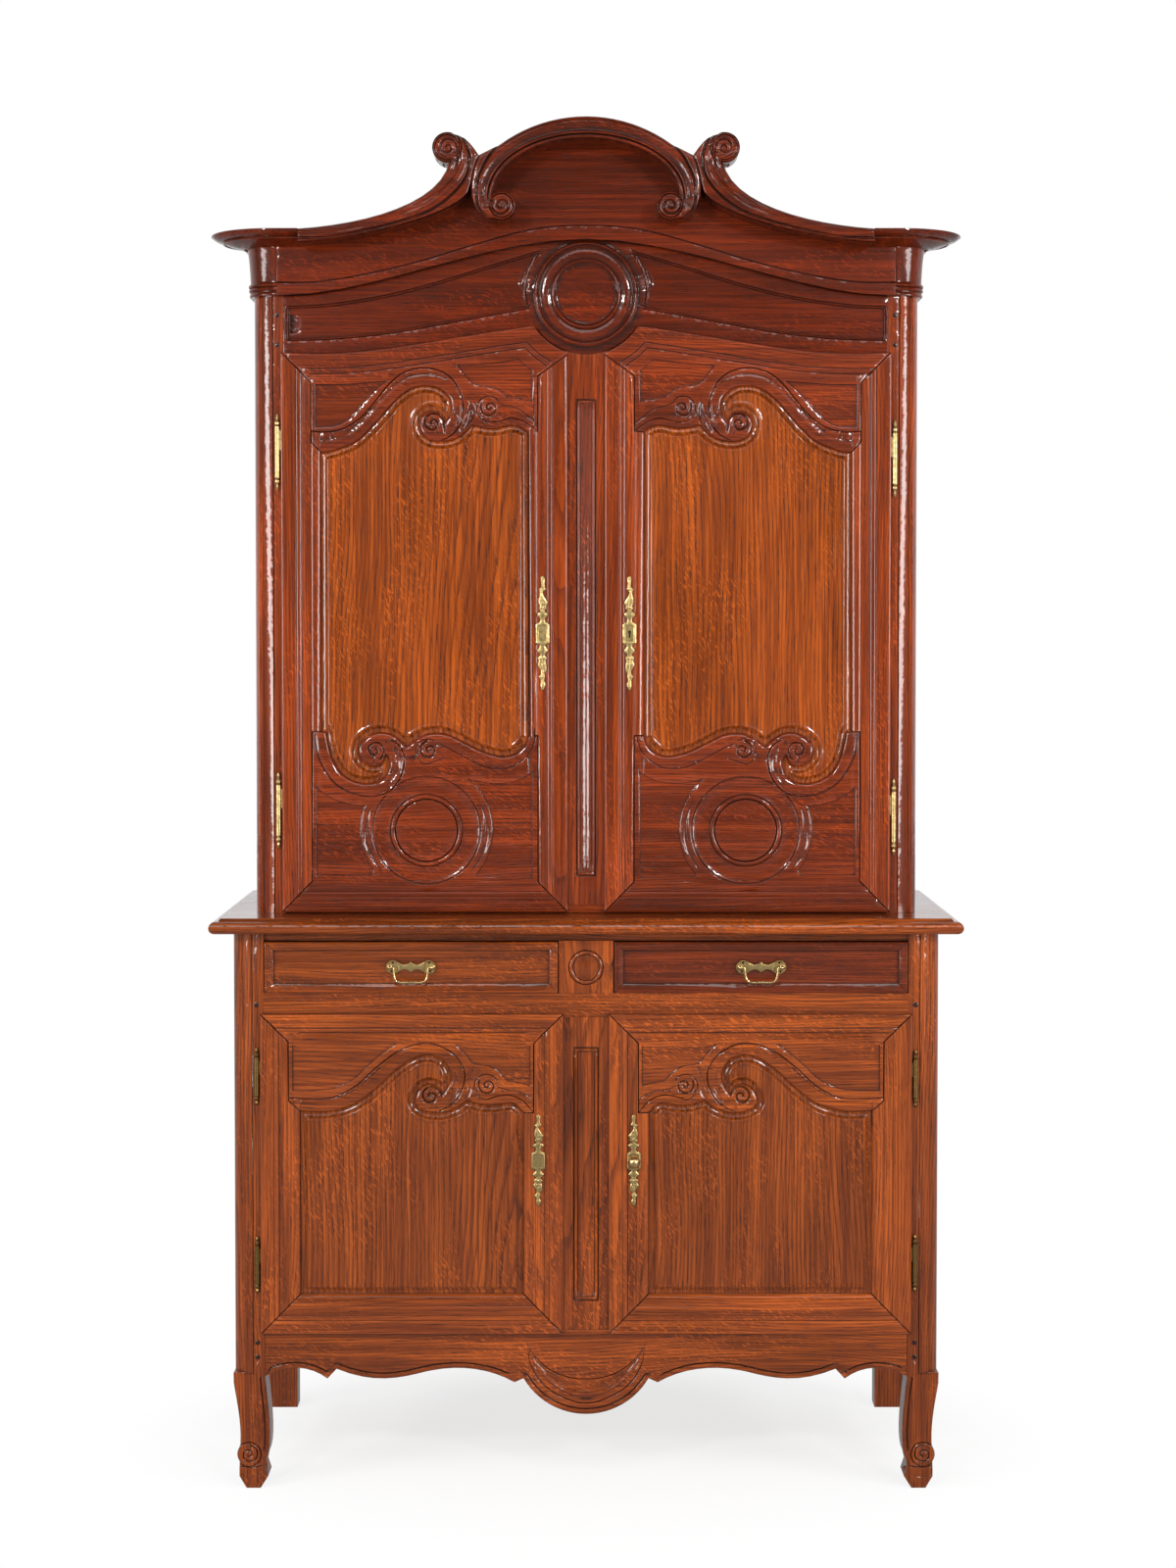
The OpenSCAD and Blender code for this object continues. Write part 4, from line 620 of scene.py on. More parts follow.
@dataclass
class Relief:
    """A carved front: a flat sheet with cuts and mouldings, closed at its sides and back."""

    # Least thickness under a cut, in millimetres; gain and start of the darkening in hollows (painted shade and dirt on
    # oak, patina on brass) and of the wear by the surface's bend
    least = 0.3
    hollow_gain = (3.2, -0.16)
    ridge_gain = (-1.3, -0.12)

    outline: Array
    front: float
    thick: float
    carves: list[Carve]
    holes: list[Array] = field(default_factory=list)
    level: Callable[[Array], Array] | None = None
    zones: Callable[[Array], Array] | None = None
    seams: list[Array] = field(default_factory=list)
    pitch: float = 14.0

    def rows(self) -> list[Array]:
        """Collects the lines along which the mesh needs vertices."""
        lines = [chain(loop, loop[:1]) for loop in (self.outline, *self.holes)] + list(self.seams)
        for carve in self.carves:
            lines += carve.rows()
        return lines

    def flat(self) -> tuple[Array, Array]:
        """Triangulates the sheet.

        Returns:
            The vertices and the triangles inside the outline.
        """
        spots, edges = [], []
        for line in self.rows():
            base = len(spots)
            spots += [tuple(point) for point in line]
            edges += [(base + i, base + i + 1) for i in range(len(line) - 1)]
        tree = KDTree(len(spots))
        for i, (x, z) in enumerate(spots):
            tree.insert((x, z, 0), i)
        tree.balance()
        low, high = self.outline.min(0), self.outline.max(0)
        rng = np.random.default_rng(7)
        for i, x in enumerate(np.arange(low[0] + self.pitch / 2, high[0], self.pitch)):
            for z in np.arange(low[1] + self.pitch * (0.3 + 0.5 * (i % 2)), high[1], self.pitch):
                if tree.find((x, z, 0))[2] > self.pitch * 0.45:
                    spots.append((x + rng.uniform(-0.5, 0.5), z))
        out, _, faces, *_ = delaunay_2d_cdt([Vector(s) for s in spots], edges, [], 0, 0.03, False)
        points = np.array([tuple(v) for v in out])
        faces = np.array([f for f in faces if len(f) == 3])
        centre = points[faces].mean(1)
        keep = within(centre, self.outline)
        for hole in self.holes:
            keep &= ~within(centre, hole)
        faces = faces[keep]
        a, b, c = (points[faces[:, k]] for k in range(3))
        area = (b - a)[:, 0] * (c - a)[:, 1] - (b - a)[:, 1] * (c - a)[:, 0]
        faces[area < 0] = faces[area < 0][:, ::-1]
        return points, faces[np.abs(area) > 1e-5]

    def heights(self, points: Array) -> Array:
        """Adds up the level, the deepest cut and the highest moulding at each point."""
        base = self.level(points) if self.level else np.zeros(len(points))
        cut, rise = np.zeros(len(points)), np.zeros(len(points))
        for carve in self.carves:
            value = carve.heights(points)
            if carve.raised:
                rise = np.maximum(rise, value)
            else:
                cut = np.minimum(cut, value)
                rise = np.maximum(rise, np.maximum(value, 0))
        return base + cut + rise

    def build(self, shell: bmesh.types.BMesh) -> None:
        """Adds the carved sheet to a mesh.

        Args:
            shell: The mesh that receives it.
        """
        points, faces = self.flat()
        used = np.unique(faces)
        index = -np.ones(len(points), int)
        index[used] = np.arange(len(used))
        points, faces = points[used], index[faces]
        height = np.maximum(self.heights(points), self.least - self.thick)
        links = np.concatenate([faces[:, [0, 1]], faces[:, [1, 2]], faces[:, [2, 0]]])
        length = np.maximum(np.hypot(*(points[links[:, 0]] - points[links[:, 1]]).T), 0.25)
        bend, weight = np.zeros(len(points)), np.zeros(len(points))
        rise = (height[links[:, 1]] - height[links[:, 0]]) / length
        for end, sign in ((0, 1), (1, -1)):
            np.add.at(bend, links[:, end], sign * rise)
            np.add.at(weight, links[:, end], 1.0)
        bend /= np.maximum(weight, 1)
        zone = self.zones(points[faces].mean(1)) if self.zones else np.zeros(len(faces), int)
        layers = shell.verts.layers.float
        # Concave places get a hollow value that darkens the oak: painted shade, together with dirt; convex ones get a
        # ridge value for wear
        dark, pale = (layers.get(name) or layers.new(name) for name in ("hollow", "ridge"))
        made = []
        for (x, z), h, b in zip(points, height, bend):
            vert = shell.verts.new((x * MM, (self.front - h) * MM, z * MM))
            for layer, (gain, start) in ((dark, self.hollow_gain), (pale, self.ridge_gain)):
                vert[layer] = min(1.0, max(0.0, b * gain + start))
            made.append(vert)
        sheet = []
        for (a, b, c), slot in zip(faces, zone):
            face = shell.faces.new((made[a], made[b], made[c]))
            face.material_index = int(slot)
            face.smooth = True
            sheet.append(face)
        back = (self.front + self.thick) * MM
        rim = [edge for edge in dict.fromkeys(e for f in sheet for e in f.edges) if len(edge.link_faces) == 1]
        walls = bmesh.ops.extrude_edge_only(shell, edges=rim)["geom"]
        for vert in walls:
            if isinstance(vert, bmesh.types.BMVert):
                vert.co.y = back
                vert[pale] = 0.0
        cap = [e for e in walls if isinstance(e, bmesh.types.BMEdge) and len(e.link_faces) == 1]
        for face in walls:
            if isinstance(face, bmesh.types.BMFace):
                face.smooth = False
        bmesh.ops.triangle_fill(shell, use_beauty=True, use_dissolve=False, edges=cap)


def node_copy(name: str) -> bmesh.types.BMesh:
    """Copies a CAD node's mesh and joins its doubled vertices."""
    shell = bmesh.new()
    shell.from_mesh(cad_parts[name].data)
    bmesh.ops.remove_doubles(shell, verts=shell.verts, dist=2e-6)
    return shell


def centre_of(name: str) -> tuple[float, float]:
    """Gives the middle of a CAD node as seen from the front, in millimetres."""
    low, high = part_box(name)
    return (low[0] + high[0]) / 2 / MM, (low[2] + high[2]) / 2 / MM


def cut_edges(shell: bmesh.types.BMesh, place: tuple[float, float, float], way: tuple[int, int, int],
              clear: bool) -> list[bmesh.types.BMEdge]:
    """Cuts a mesh with a plane.

    Args:
        shell: The mesh.
        place: A point of the plane, in millimetres.
        way: The plane's direction.
        clear: Whether what lies on the side that the direction leaves is removed.

    Returns:
        The edges of the cut.
    """
    cut = bmesh.ops.bisect_plane(shell, geom=[*shell.verts, *shell.edges, *shell.faces],
                                 plane_co=[c * MM for c in place], plane_no=way, clear_inner=clear)["geom_cut"]
    return [e for e in cut if isinstance(e, bmesh.types.BMEdge)]


def cut_off(shell: bmesh.types.BMesh, place: tuple[float, float, float], way: tuple[int, int, int]) -> None:
    """Removes what lies before a plane and closes the cut."""
    bmesh.ops.triangle_fill(shell, use_beauty=True, edges=cut_edges(shell, place, way, True))


def slice_loops(name: str, y: float) -> list[Array]:
    """Cuts a CAD node at a depth.

    Args:
        name: The node.
        y: The depth in millimetres.

    Returns:
        The closed lines of the cut, in millimetres.
    """
    shell = node_copy(name)
    loops = []
    # A dict keeps its order, so that every run finds the same lines in the same order
    left = dict.fromkeys(cut_edges(shell, (0, y, 0), (0, 1, 0), False))
    while left:
        edge = next(iter(left))
        del left[edge]
        run = [*edge.verts]
        while step := next((e for e in run[-1].link_edges if e in left), None):
            del left[step]
            run.append(step.other_vert(run[-1]))
        loops.append(np.array([(v.co.x / MM, v.co.z / MM) for v in run[:-1]]))
    shell.free()
    return loops


def behind(name: str, y: float, slot: Callable[[float, float], int] | None = None) -> bmesh.types.BMesh:
    """Copies what lies behind a depth of a CAD node and closes the cut.

    Args:
        name: The node.
        y: The depth in millimetres.
        slot: Gives the material slot at a place.

    Returns:
        The copied mesh.
    """
    shell = node_copy(name)
    cut_off(shell, (0, y, 0), (0, 1, 0))
    if slot:
        for face in shell.faces:
            centre = face.calc_center_median()
            face.material_index = slot(centre.x / MM, centre.z / MM)
    return shell


def finish_piece(name: str, shell: bmesh.types.BMesh, materials: list[bpy.types.Material], body: str,
                 *nodes: str, angle: float = 38.0) -> bpy.types.Object:
    """Turns a mesh into a piece that rides on a body.

    Args:
        name: The piece's name.
        shell: Its mesh.
        materials: Its finishes, by slot.
        body: The body it rides on.
        nodes: The CAD nodes that it stands for.
        angle: Edges sharper than this stay sharp, in degrees.

    Returns:
        The piece.
    """
    bmesh.ops.recalc_face_normals(shell, faces=shell.faces)
    mesh = bpy.data.meshes.new(name)
    shell.to_mesh(mesh)
    shell.free()
    for material in materials:
        mesh.materials.append(material)
    mesh.shade_smooth()
    mesh.set_sharp_from_angle(angle=math.radians(angle))
    item = bpy.data.objects.new(name, mesh)
    bpy.context.scene.collection.objects.link(item)
    # Large flats keep their own direction, so that only the mouldings catch the light
    item.modifiers.new("flats_first", "WEIGHTED_NORMAL").keep_sharp = True
    item.data = bpy.data.meshes.new_from_object(item.evaluated_get(bpy.context.evaluated_depsgraph_get()))
    item.modifiers.clear()
    bpy.data.meshes.remove(mesh)
    mesh = item.data
    mesh.name = name
    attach(item, body)
    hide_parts(*nodes)
    log.info("built %s with %d faces", name, len(mesh.polygons))
    return item


# ---------------------------------------------------------------- doors
@dataclass
class DoorPlan:
    """The lines of a left-hand door, in millimetres, drawn as seen from the front."""

    front: float
    left: float
    right: float
    foot: float
    steps: tuple[float, float, float]
    window: Array
    bands: list[Array]
    rails: list[Array]
    seams: list[Array]
    carves: list[Carve]
    solid: float = 73.0

    def edge_table(self) -> Profile:
        """Lists the moulding's height by distance from the door's edge, up to the rails' own field."""
        a, b, c = self.steps
        return [(0, -3.2), (0.6, -1.7), (1.8, -0.5), (3.5, 0), (a - 1.6, 0), (a - 0.6, -0.5), (a, -1.7),
            (a + 0.7, -1.7), (a + 1.3, -0.6), (a + 3, -0.1), (b - 2.8, -0.5), (b - 0.8, -1.4), (b, -2.9),
            (b + 0.6, -2.9), (b + 1.2, -1.3), (c - 1.2, -1.2)]

    def stile_table(self) -> Profile:
        """Lists the heights of the stile's inner moulding."""
        c, s = self.steps[2], self.solid
        return [(c - 0.4, -2.6), (c + 0.3, -2.6), (c + 1.0, -1.5), (c + 4, -0.9), (s - 8, -1.5), (s - 4, -3.0),
                (s - 1.5, -5.2), (s, -7.0)]


class Doors:
    """Carves the four doors: frames with volutes and their raised panels."""

    margin: Profile = [(0, -10.0), (2.5, -9.8), (6, -9.2), (9, -7.6), (11.5, -4.8), (13.2, -2.9), (14.6, -2.2),
                       (16, -2.4), (18, -3.2), (22, -3.4)]
    band_edge: Profile = [(0, -6.0), (0.7, -3.9), (1.8, -2.2), (3.5, -0.9), (7, 0.1), (12, 0.5), (17, 0.2), (21, -0.7),
                          (24, -1.9)]

    # Depth of the panels' carving, and how far a door's upper edge may dip, in millimetres
    panel_depth = 11.0
    top_drop = 60.0

    def top_edge(self, node: str, y: float) -> Array:
        """Reads the door's upper edge from the CAD frame, from left to right."""
        loops = slice_loops(node, y)
        xs = np.unique(np.round(np.concatenate([loop[:, 0] for loop in loops]), 2))
        best = np.full(len(xs), -1e9)
        for loop in loops:
            for (x0, z0), (x1, z1) in zip(loop, np.roll(loop, -1, 0)):
                if abs(x1 - x0) < 1e-3:
                    continue
                t = (xs - x0) / (x1 - x0)
                hit = (t >= -1e-6) & (t <= 1 + 1e-6)
                best[hit] = np.maximum(best[hit], (z0 + t * (z1 - z0))[hit])
        keep = best > np.median(best) - self.top_drop
        return np.stack([xs[keep], best[keep]], 1)

    def upper_plan(self) -> DoorPlan:
        """Draws an upper left door."""
        knob, curl = (-283.0, 1966.0), (-392.0, 1361.0)
        top = [smooth([(-491, 1911), (-472, 1913), (-456, 1918), (-426, 1931), (-399, 1955), (-372, 1985), (-349, 2010),
            (-322, 2029), (-295, 2034), (-272, 2029), (-255, 2014), (-249, 1997), (-253, 1981), (-262, 1968)]),
            smooth([(-262, 1968), (-269, 1983), (-284, 1989), (-300, 1983), (-308, 1966), (-303, 1946), (-290, 1935),
            (-272, 1931), (-245, 1935), (-225, 1947), (-212, 1962)]),
            smooth([(-212, 1962), (-190, 1957), (-169, 1955), (-138, 1961), (-121, 1958), (-107, 1949)])]
        low = [smooth([(-107, 1387), (-112, 1375), (-124, 1361), (-136, 1353), (-153, 1350), (-189, 1358), (-229, 1377),
                       (-260, 1391), (-292, 1392), (-316, 1381), (-333, 1368)]),
               smooth([(-333, 1368), (-347, 1381), (-363, 1391), (-383, 1394), (-403, 1388), (-417, 1376), (-423, 1360),
                       (-419, 1345), (-407, 1334), (-391, 1330), (-377, 1337), (-372, 1352)]),
               smooth([(-372, 1352), (-365, 1340), (-369, 1319), (-381, 1306), (-398, 1300), (-426, 1302), (-452, 1316),
                       (-470, 1344), (-478, 1370), (-482, 1395)]), [(-491, 1395)]]
        window = chain(*low, *top)
        rails = [np.array([(-508, 1120), (-508, 1395), (-482, 1396), (-300, 1500), (-107, 1388), (-89, 1388),
            (-89, 1116), (-34, 1060), (-564, 1060)], float),
            np.array([(-508, 2041), (-508, 1931), (-489, 1911), (-300, 1700), (-107, 1949), (-89, 1951), (-89, 2060),
            (-34, 2090), (-34, 2300), (-564, 2300), (-564, 2097)], float)]
        seams = [chain([(-564, 2097), (-508, 2041), (-508, 1931), (-489, 1911)]),
                 chain([(-34, 2092), (-89, 2052), (-89, 1950.5), (-107, 1949.5)]),
                 chain([(-564, 1060), (-508, 1118), (-508, 1395), (-482, 1395)]),
                 chain([(-34, 1060), (-89, 1116), (-89, 1388), (-107, 1388)])]
        upper_line = smooth([(-508, 1951), (-478, 1949), (-445, 1957), (-416, 1976), (-390, 2005), (-365, 2036),
                             (-340, 2057), (-305, 2067), (-270, 2062), (-243, 2042), (-229, 2012), (-227, 1985),
                             (-236, 1957), (-252, 1941), (-272, 1932)])
        left_field = chain(smooth([(-501, 2037), (-440, 2038), (-366, 2044)]),
                           smooth([(-366, 2044), (-388, 2026), (-412, 2000), (-434, 1976), (-462, 1960), (-501, 1958)]))
        right_field = chain(smooth([(-240, 2074), (-180, 2076), (-124, 2084)]), [(-99, 2062), (-99, 2005)],
            smooth([(-99, 2005), (-128, 2010), (-146, 2012)]),
            smooth([(-146, 2012), (-164, 2026), (-186, 2033), (-210, 2038), (-226, 2056), (-240, 2074)]))
        small = (-178.0, 1994.0)
        scroll_band = chain(bow(small, (20, 26), 40, 265), smooth([(-181, 1968), (-160, 1969), (-138, 1975),
                                                                   (-118, 1970), (-92, 1953)]))
        over_band = smooth([(-161, 2003), (-146, 1997), (-126, 1992), (-108, 1980), (-90, 1966)])
        curl_line = smooth([(-503, 1392), (-500, 1360), (-488, 1330), (-466, 1300), (-436, 1282), (-403, 1275),
            (-372, 1281), (-350, 1300), (-339, 1325), (-337, 1348), (-345, 1368), (-362, 1380)])
        little = (-291.0, 1361.0)
        low_band = chain(bow(little, (20, 27), 60, 250), smooth([(-298, 1335), (-268, 1344)]))
        run_line = smooth([(-272, 1372), (-250, 1362), (-225, 1348), (-196, 1333), (-165, 1326), (-136, 1331),
            (-112, 1348), (-98, 1370), (-94, 1388)])
        middle = (-296.0, 1212.0)
        foot_field_left = chain([(-500, 1128), (-500, 1295)],
            smooth([(-500, 1295), (-478, 1276), (-440, 1262), (-406, 1258)]), bow(middle, 122, 157, 218),
            [(-398, 1128)])
        foot_field_right = chain(bow(middle, 122, -42, 52),
            smooth([(-221, 1309), (-190, 1302), (-160, 1300), (-130, 1305), (-99, 1322)]), [(-99, 1122), (-204, 1126)])
        carves = [groove(upper_line, 1.9, 3.2), sunk(left_field, 3.4), sunk(right_field, 3.2),
            groove(bow(knob, (21, 2.5), -10, 560), 3.2, 4.8),
            hollow(smooth([(-231, 2002), (-232, 1975), (-246, 1950)]), 5, 2.5, [(0, 0.1), (0.5, 1), (1, 0.2)]),
            hollow(smooth([(-213, 2003), (-212, 1985), (-219, 1966), (-231, 1950)]), 9, 6.0, taper(0.3, 0.35)),
            groove(bow(small, (17, 2.5), 150, 660), 2.7, 4.2), groove(scroll_band, 1.5, 2.6),
            groove(over_band, 1.4, 2.2), groove(curl_line, 1.9, 3.2), groove(run_line, 1.5, 2.4),
            groove(bow(curl, (19, 2.5), 300, 800), 2.4, 3.8), groove(bow(little, (18, 2.5), 100, 620), 2.7, 4.2),
            groove(low_band, 1.4, 2.2),
            hollow(smooth([(-357, 1366), (-350, 1350), (-352, 1322), (-368, 1298)]), 7, 2.4, taper(0.2)),
            sunk(foot_field_left, 2.6), sunk(foot_field_right, 2.6),
            Carve(ring(middle, 100), [(0, -2.4), (1.2, -1.2), (2.4, 0)]),
            Carve(ring(middle, 82), [(0, -3.2), (6, -2.9), (12, -1.8), (16, -0.4), (17.5, 0)]),
            roll(ring(middle, 62.5), 4.2, 3.2), groove(ring(middle, 57.5), 1.5, 2.6),
            groove(ring(middle, 67.5), 1.5, 2.6), hollow(bow(middle, 112, 158, 222), 7.5, 3.6, taper(0.15)),
            hollow(bow(middle, 112, -42, 28), 7.5, 3.6, taper(0.15)),
            groove(smooth([(-500, 1290), (-470, 1270), (-440, 1256), (-408, 1250)]), 1.6, 2.0),
            groove(smooth([(-212, 1304), (-190, 1298), (-160, 1297), (-128, 1303), (-98, 1320)]), 1.6, 2.0)]
        return DoorPlan(UP_Y - LIP, -564, -34, 1060, (28, 38, 56), window, [*top, *low[:3]], rails, seams, carves)

    def lower_plan(self) -> DoorPlan:
        """Draws a lower left door."""
        knob, small = (-285.0, 729.0), (-181.0, 748.0)
        top = [smooth([(-525, 702), (-500, 700), (-463, 702), (-422, 716), (-382, 746), (-342, 782), (-310, 801),
                       (-286, 804), (-262, 794), (-249, 770), (-253, 748), (-266, 731)]),
               smooth([(-266, 731), (-272, 744), (-287, 751), (-302, 745), (-313, 730), (-314, 716), (-306, 706),
                       (-290, 699.5), (-272, 697.5), (-248, 702), (-228, 713), (-218, 721)]),
               smooth([(-218, 721), (-198, 714), (-178, 711.5), (-150, 714.5), (-136, 716), (-126, 710), (-115, 698)])]
        window = chain([(-115, 363), (-525, 363)], *top)
        rails = [np.array([(-546, 830), (-546, 720), (-526, 702), (-300, 500), (-115, 698), (-96, 698), (-96, 829),
                           (-40, 884), (-602, 884)], float),
                 np.array([(-598, 289), (-524, 363), (-116, 363), (-42, 289)], float)]
        seams = [chain([(-598, 880), (-546, 829), (-546, 720), (-525, 702)]),
                 chain([(-42, 880), (-96, 826), (-96, 698), (-115, 698)]),
                 chain([(-598, 289), (-525, 363)]), chain([(-42, 289), (-115, 363)])]
        band_line = smooth([(-546, 726), (-505, 724), (-463, 727), (-422, 748), (-382, 784), (-342, 813), (-302, 826),
                            (-271, 822), (-240, 803), (-223, 774), (-227, 742), (-246, 714), (-274, 700)])
        left_field = chain([(-539, 824)], [(-345, 826)], smooth([(-345, 826), (-366, 813), (-398, 786), (-422, 763),
                                                                  (-454, 745), (-495, 739), (-539, 738)]))
        right_field = chain([(-241, 825)], [(-102, 822)], [(-102, 746)],
            smooth([(-102, 746), (-120, 752), (-145, 756)]),
            smooth([(-145, 756), (-158, 770), (-178, 783), (-208, 789), (-221, 805), (-241, 825)]))
        scroll_band = chain(bow(small, (20, 26), 40, 262), smooth([(-184, 722), (-165, 728), (-140, 731), (-118, 722),
                                                                   (-98, 700)]))
        over_band = smooth([(-163, 747), (-146, 741), (-126, 738), (-110, 732), (-97, 722)])
        carves = [groove(band_line, 1.9, 3.2), sunk(left_field, 3.2), sunk(right_field, 3.2),
                  groove(bow(knob, (20, 2.5), 0, 560), 3.2, 4.8), groove(bow(small, (17, 2.5), 150, 660), 2.7, 4.2),
                  groove(scroll_band, 1.5, 2.6), groove(over_band, 1.4, 2.2),
                  hollow(smooth([(-240, 772), (-238, 745), (-252, 718)]), 6, 2.5, taper(0.2)),
                  hollow(smooth([(-206, 782), (-213, 760), (-214, 738), (-222, 722)]), 8, 3.2,
                         taper(0.3, 0.4))]
        return DoorPlan(LOW_Y - LIP, -598, -42, 289, (25, 34, 51), window, [*top], rails, seams, carves)

    def build(self, plan: DoorPlan, tier: str, hand: int) -> None:
        """Carves one door.

        Args:
            plan: The door's lines.
            tier: The word upper or lower in the node's names.
            hand: 1 for the left door and -1 for the right one.
        """
        side = "left" if hand > 0 else "right"
        body = f"{tier}_{side}_door"
        turn = facing(hand)
        frame_node, panel_node = f"{body}_frame", f"{body}_panel"
        top = self.top_edge(frame_node, plan.front + 4)
        x0, x1 = sorted((hand * plan.left, hand * plan.right))
        outline = chain([(x0, plan.foot), (x1, plan.foot)], top[::-1])
        window = closed(turn(plan.window))
        rails = [turn(rail) for rail in plan.rails]
        edge = closed(outline)
        edge_table, stile_table = plan.edge_table(), plan.stile_table()
        stile_level = edge_level(edge, edge_table + stile_table)
        rail_level = edge_level(edge, edge_table + [(plan.steps[2], edge_table[-1][1])])
        shaped = rails[::-1] if tier == "upper" else rails[:1]

        def level(points: Array) -> Array:
            """Gives the moulded height of the stiles and rails."""
            on_rail = np.any([within(points, rail) for rail in shaped], axis=0)
            return np.where(on_rail, rail_level(points), stile_level(points))

        def zones(points: Array) -> Array:
            """Tells rails from stiles."""
            return (within(points, rails[0]) | within(points, rails[1])).astype(int)

        carves = [replace(carve, line=turn(carve.line)) for carve in plan.carves]
        carves += [Carve(turn(line), self.band_edge, only=rail) for line in plan.bands for rail in shaped]
        carves += [groove(turn(line), 1.3, 7.5) for line in plan.seams]
        holes = [window] + self.extra_holes(tier, side)
        rows = edge_rows(edge, edge_table + stile_table)
        half = (x0 + x1) / 2
        reach = (x1 - x0) / 2 - plan.solid
        shell = behind(frame_node, plan.front + LIP, lambda x, z: int(abs(x - half) < reach))
        Relief(outline, plan.front, LIP, carves, holes, level, zones, rows).build(shell)
        stiles, cross, panel, seed = ((UPPER_OAK, CARVED_OAK, PANEL_OAK, 8) if tier == "upper"
                                      else (LOWER_OAK, LOWER_OAK, LOWER_PANEL_OAK, 3))
        seed += hand
        finish_piece(f"{body}_carved_frame", shell,
                     [stiles.build(Grain.UPRIGHT, seed), cross.build(Grain.ACROSS, seed + 2)], body, frame_node)
        # Panel: a low margin, a rounded rise and a flat field; it starts just inside the window
        outline = max(shifted(window, 0.4), key=len)
        shell = behind(panel_node, plan.front + self.panel_depth)
        Relief(outline, plan.front, self.panel_depth, [], [], edge_level(window, self.margin), None,
               edge_rows(window, self.margin), 20.0).build(shell)
        finish_piece(f"{body}_raised_panel", shell, [panel.build(Grain.UPRIGHT, seed + 9)], body, panel_node)

    def extra_holes(self, tier: str, side: str) -> list[Array]:
        """Returns the holes for the key and the latch's shaft in the right doors."""
        if side == "left":
            return []
        x, z = centre_of(f"{tier}_right_escutcheon")
        if tier == "upper":
            return [chain(bow((x, z + 3), 3.0, -60, 240, 1.0), [(x - 1.5, z - 8), (x + 1.5, z - 8)])]
        return [ring((x, z), 4.3, 1.5)[:-1]]

    def build_all(self) -> None:
        """Carves the four doors."""
        upper, lower = self.upper_plan(), self.lower_plan()
        for hand in (1, -1):
            self.build(upper, "upper", hand)
            self.build(lower, "lower", hand)


# ---------------------------------------------------------------- carved fronts of the two cases
def portion(loop: Array, start: tuple[float, float], end: tuple[float, float]) -> Array:
    """Takes the shorter run of a closed line between the points nearest to two places."""
    i, j = (int(np.hypot(*(loop - spot).T).argmin()) for spot in (start, end))
    ahead = np.roll(loop, -i, 0)[: (j - i) % len(loop) + 1]
    back = np.roll(loop[::-1], -(len(loop) - 1 - i), 0)[: (i - j) % len(loop) + 1]
    return min(ahead, back, key=lambda run: np.hypot(*np.diff(run, axis=0).T).sum() if len(run) > 1 else math.inf)


def sort_loops(loops: list[Array]) -> list[tuple[Array, list[Array]]]:
    """Groups closed lines into outlines, each with the holes inside it."""
    loops = sorted(loops, key=lambda loop: -np.prod(loop.max(0) - loop.min(0)))
    groups: list[tuple[Array, list[Array]]] = []
    for loop in loops:
        home = next((group for group in groups if within(loop[:1], group[0])[0]), None)
        if home:
            home[1].append(loop)
        else:
            groups.append((loop, []))
    return groups


@dataclass
class Front:
    """A CAD node whose front gets carved: where to cut it and how to finish it.

    A filled front has no holes, so that the sheet spans what the CAD recesses.
    """

    node: str
    body: str
    front: float
    thick: float
    oak: OakFinish
    grain: Grain
    seed: int
    pitch: float = 14.0
    slice_at: float = 1.0
    filled: bool = False

    def carve(self, name: str, carves: list[Carve], edge: Sequence[tuple[float, float]] = ((0, 0),),
              level: Callable[[Array], Array] | None = None, extra: Sequence[Array] = ()) -> None:
        """Builds the carved piece.

        Args:
            name: The piece's name.
            carves: Its cuts and mouldings.
            edge: Heights by distance from the outline.
            level: Heights that don't follow the outline.
            extra: More lines along which the mesh needs vertices.
        """
        shell = behind(self.node, self.front + self.thick)
        for outline, holes in sort_loops(slice_loops(self.node, self.front + self.slice_at)):
            outline = closed(outline)
            rounded = edge_level(outline, edge)
            heights = (lambda points: level(points) + rounded(points)) if level else rounded
            rows = [*extra, *edge_rows(outline, edge)]
            Relief(outline, self.front, self.thick, carves, [] if self.filled else holes, heights, None, rows,
                   self.pitch).build(shell)
        finish_piece(name, shell, [self.oak.build(self.grain, self.seed)], self.body, self.node)


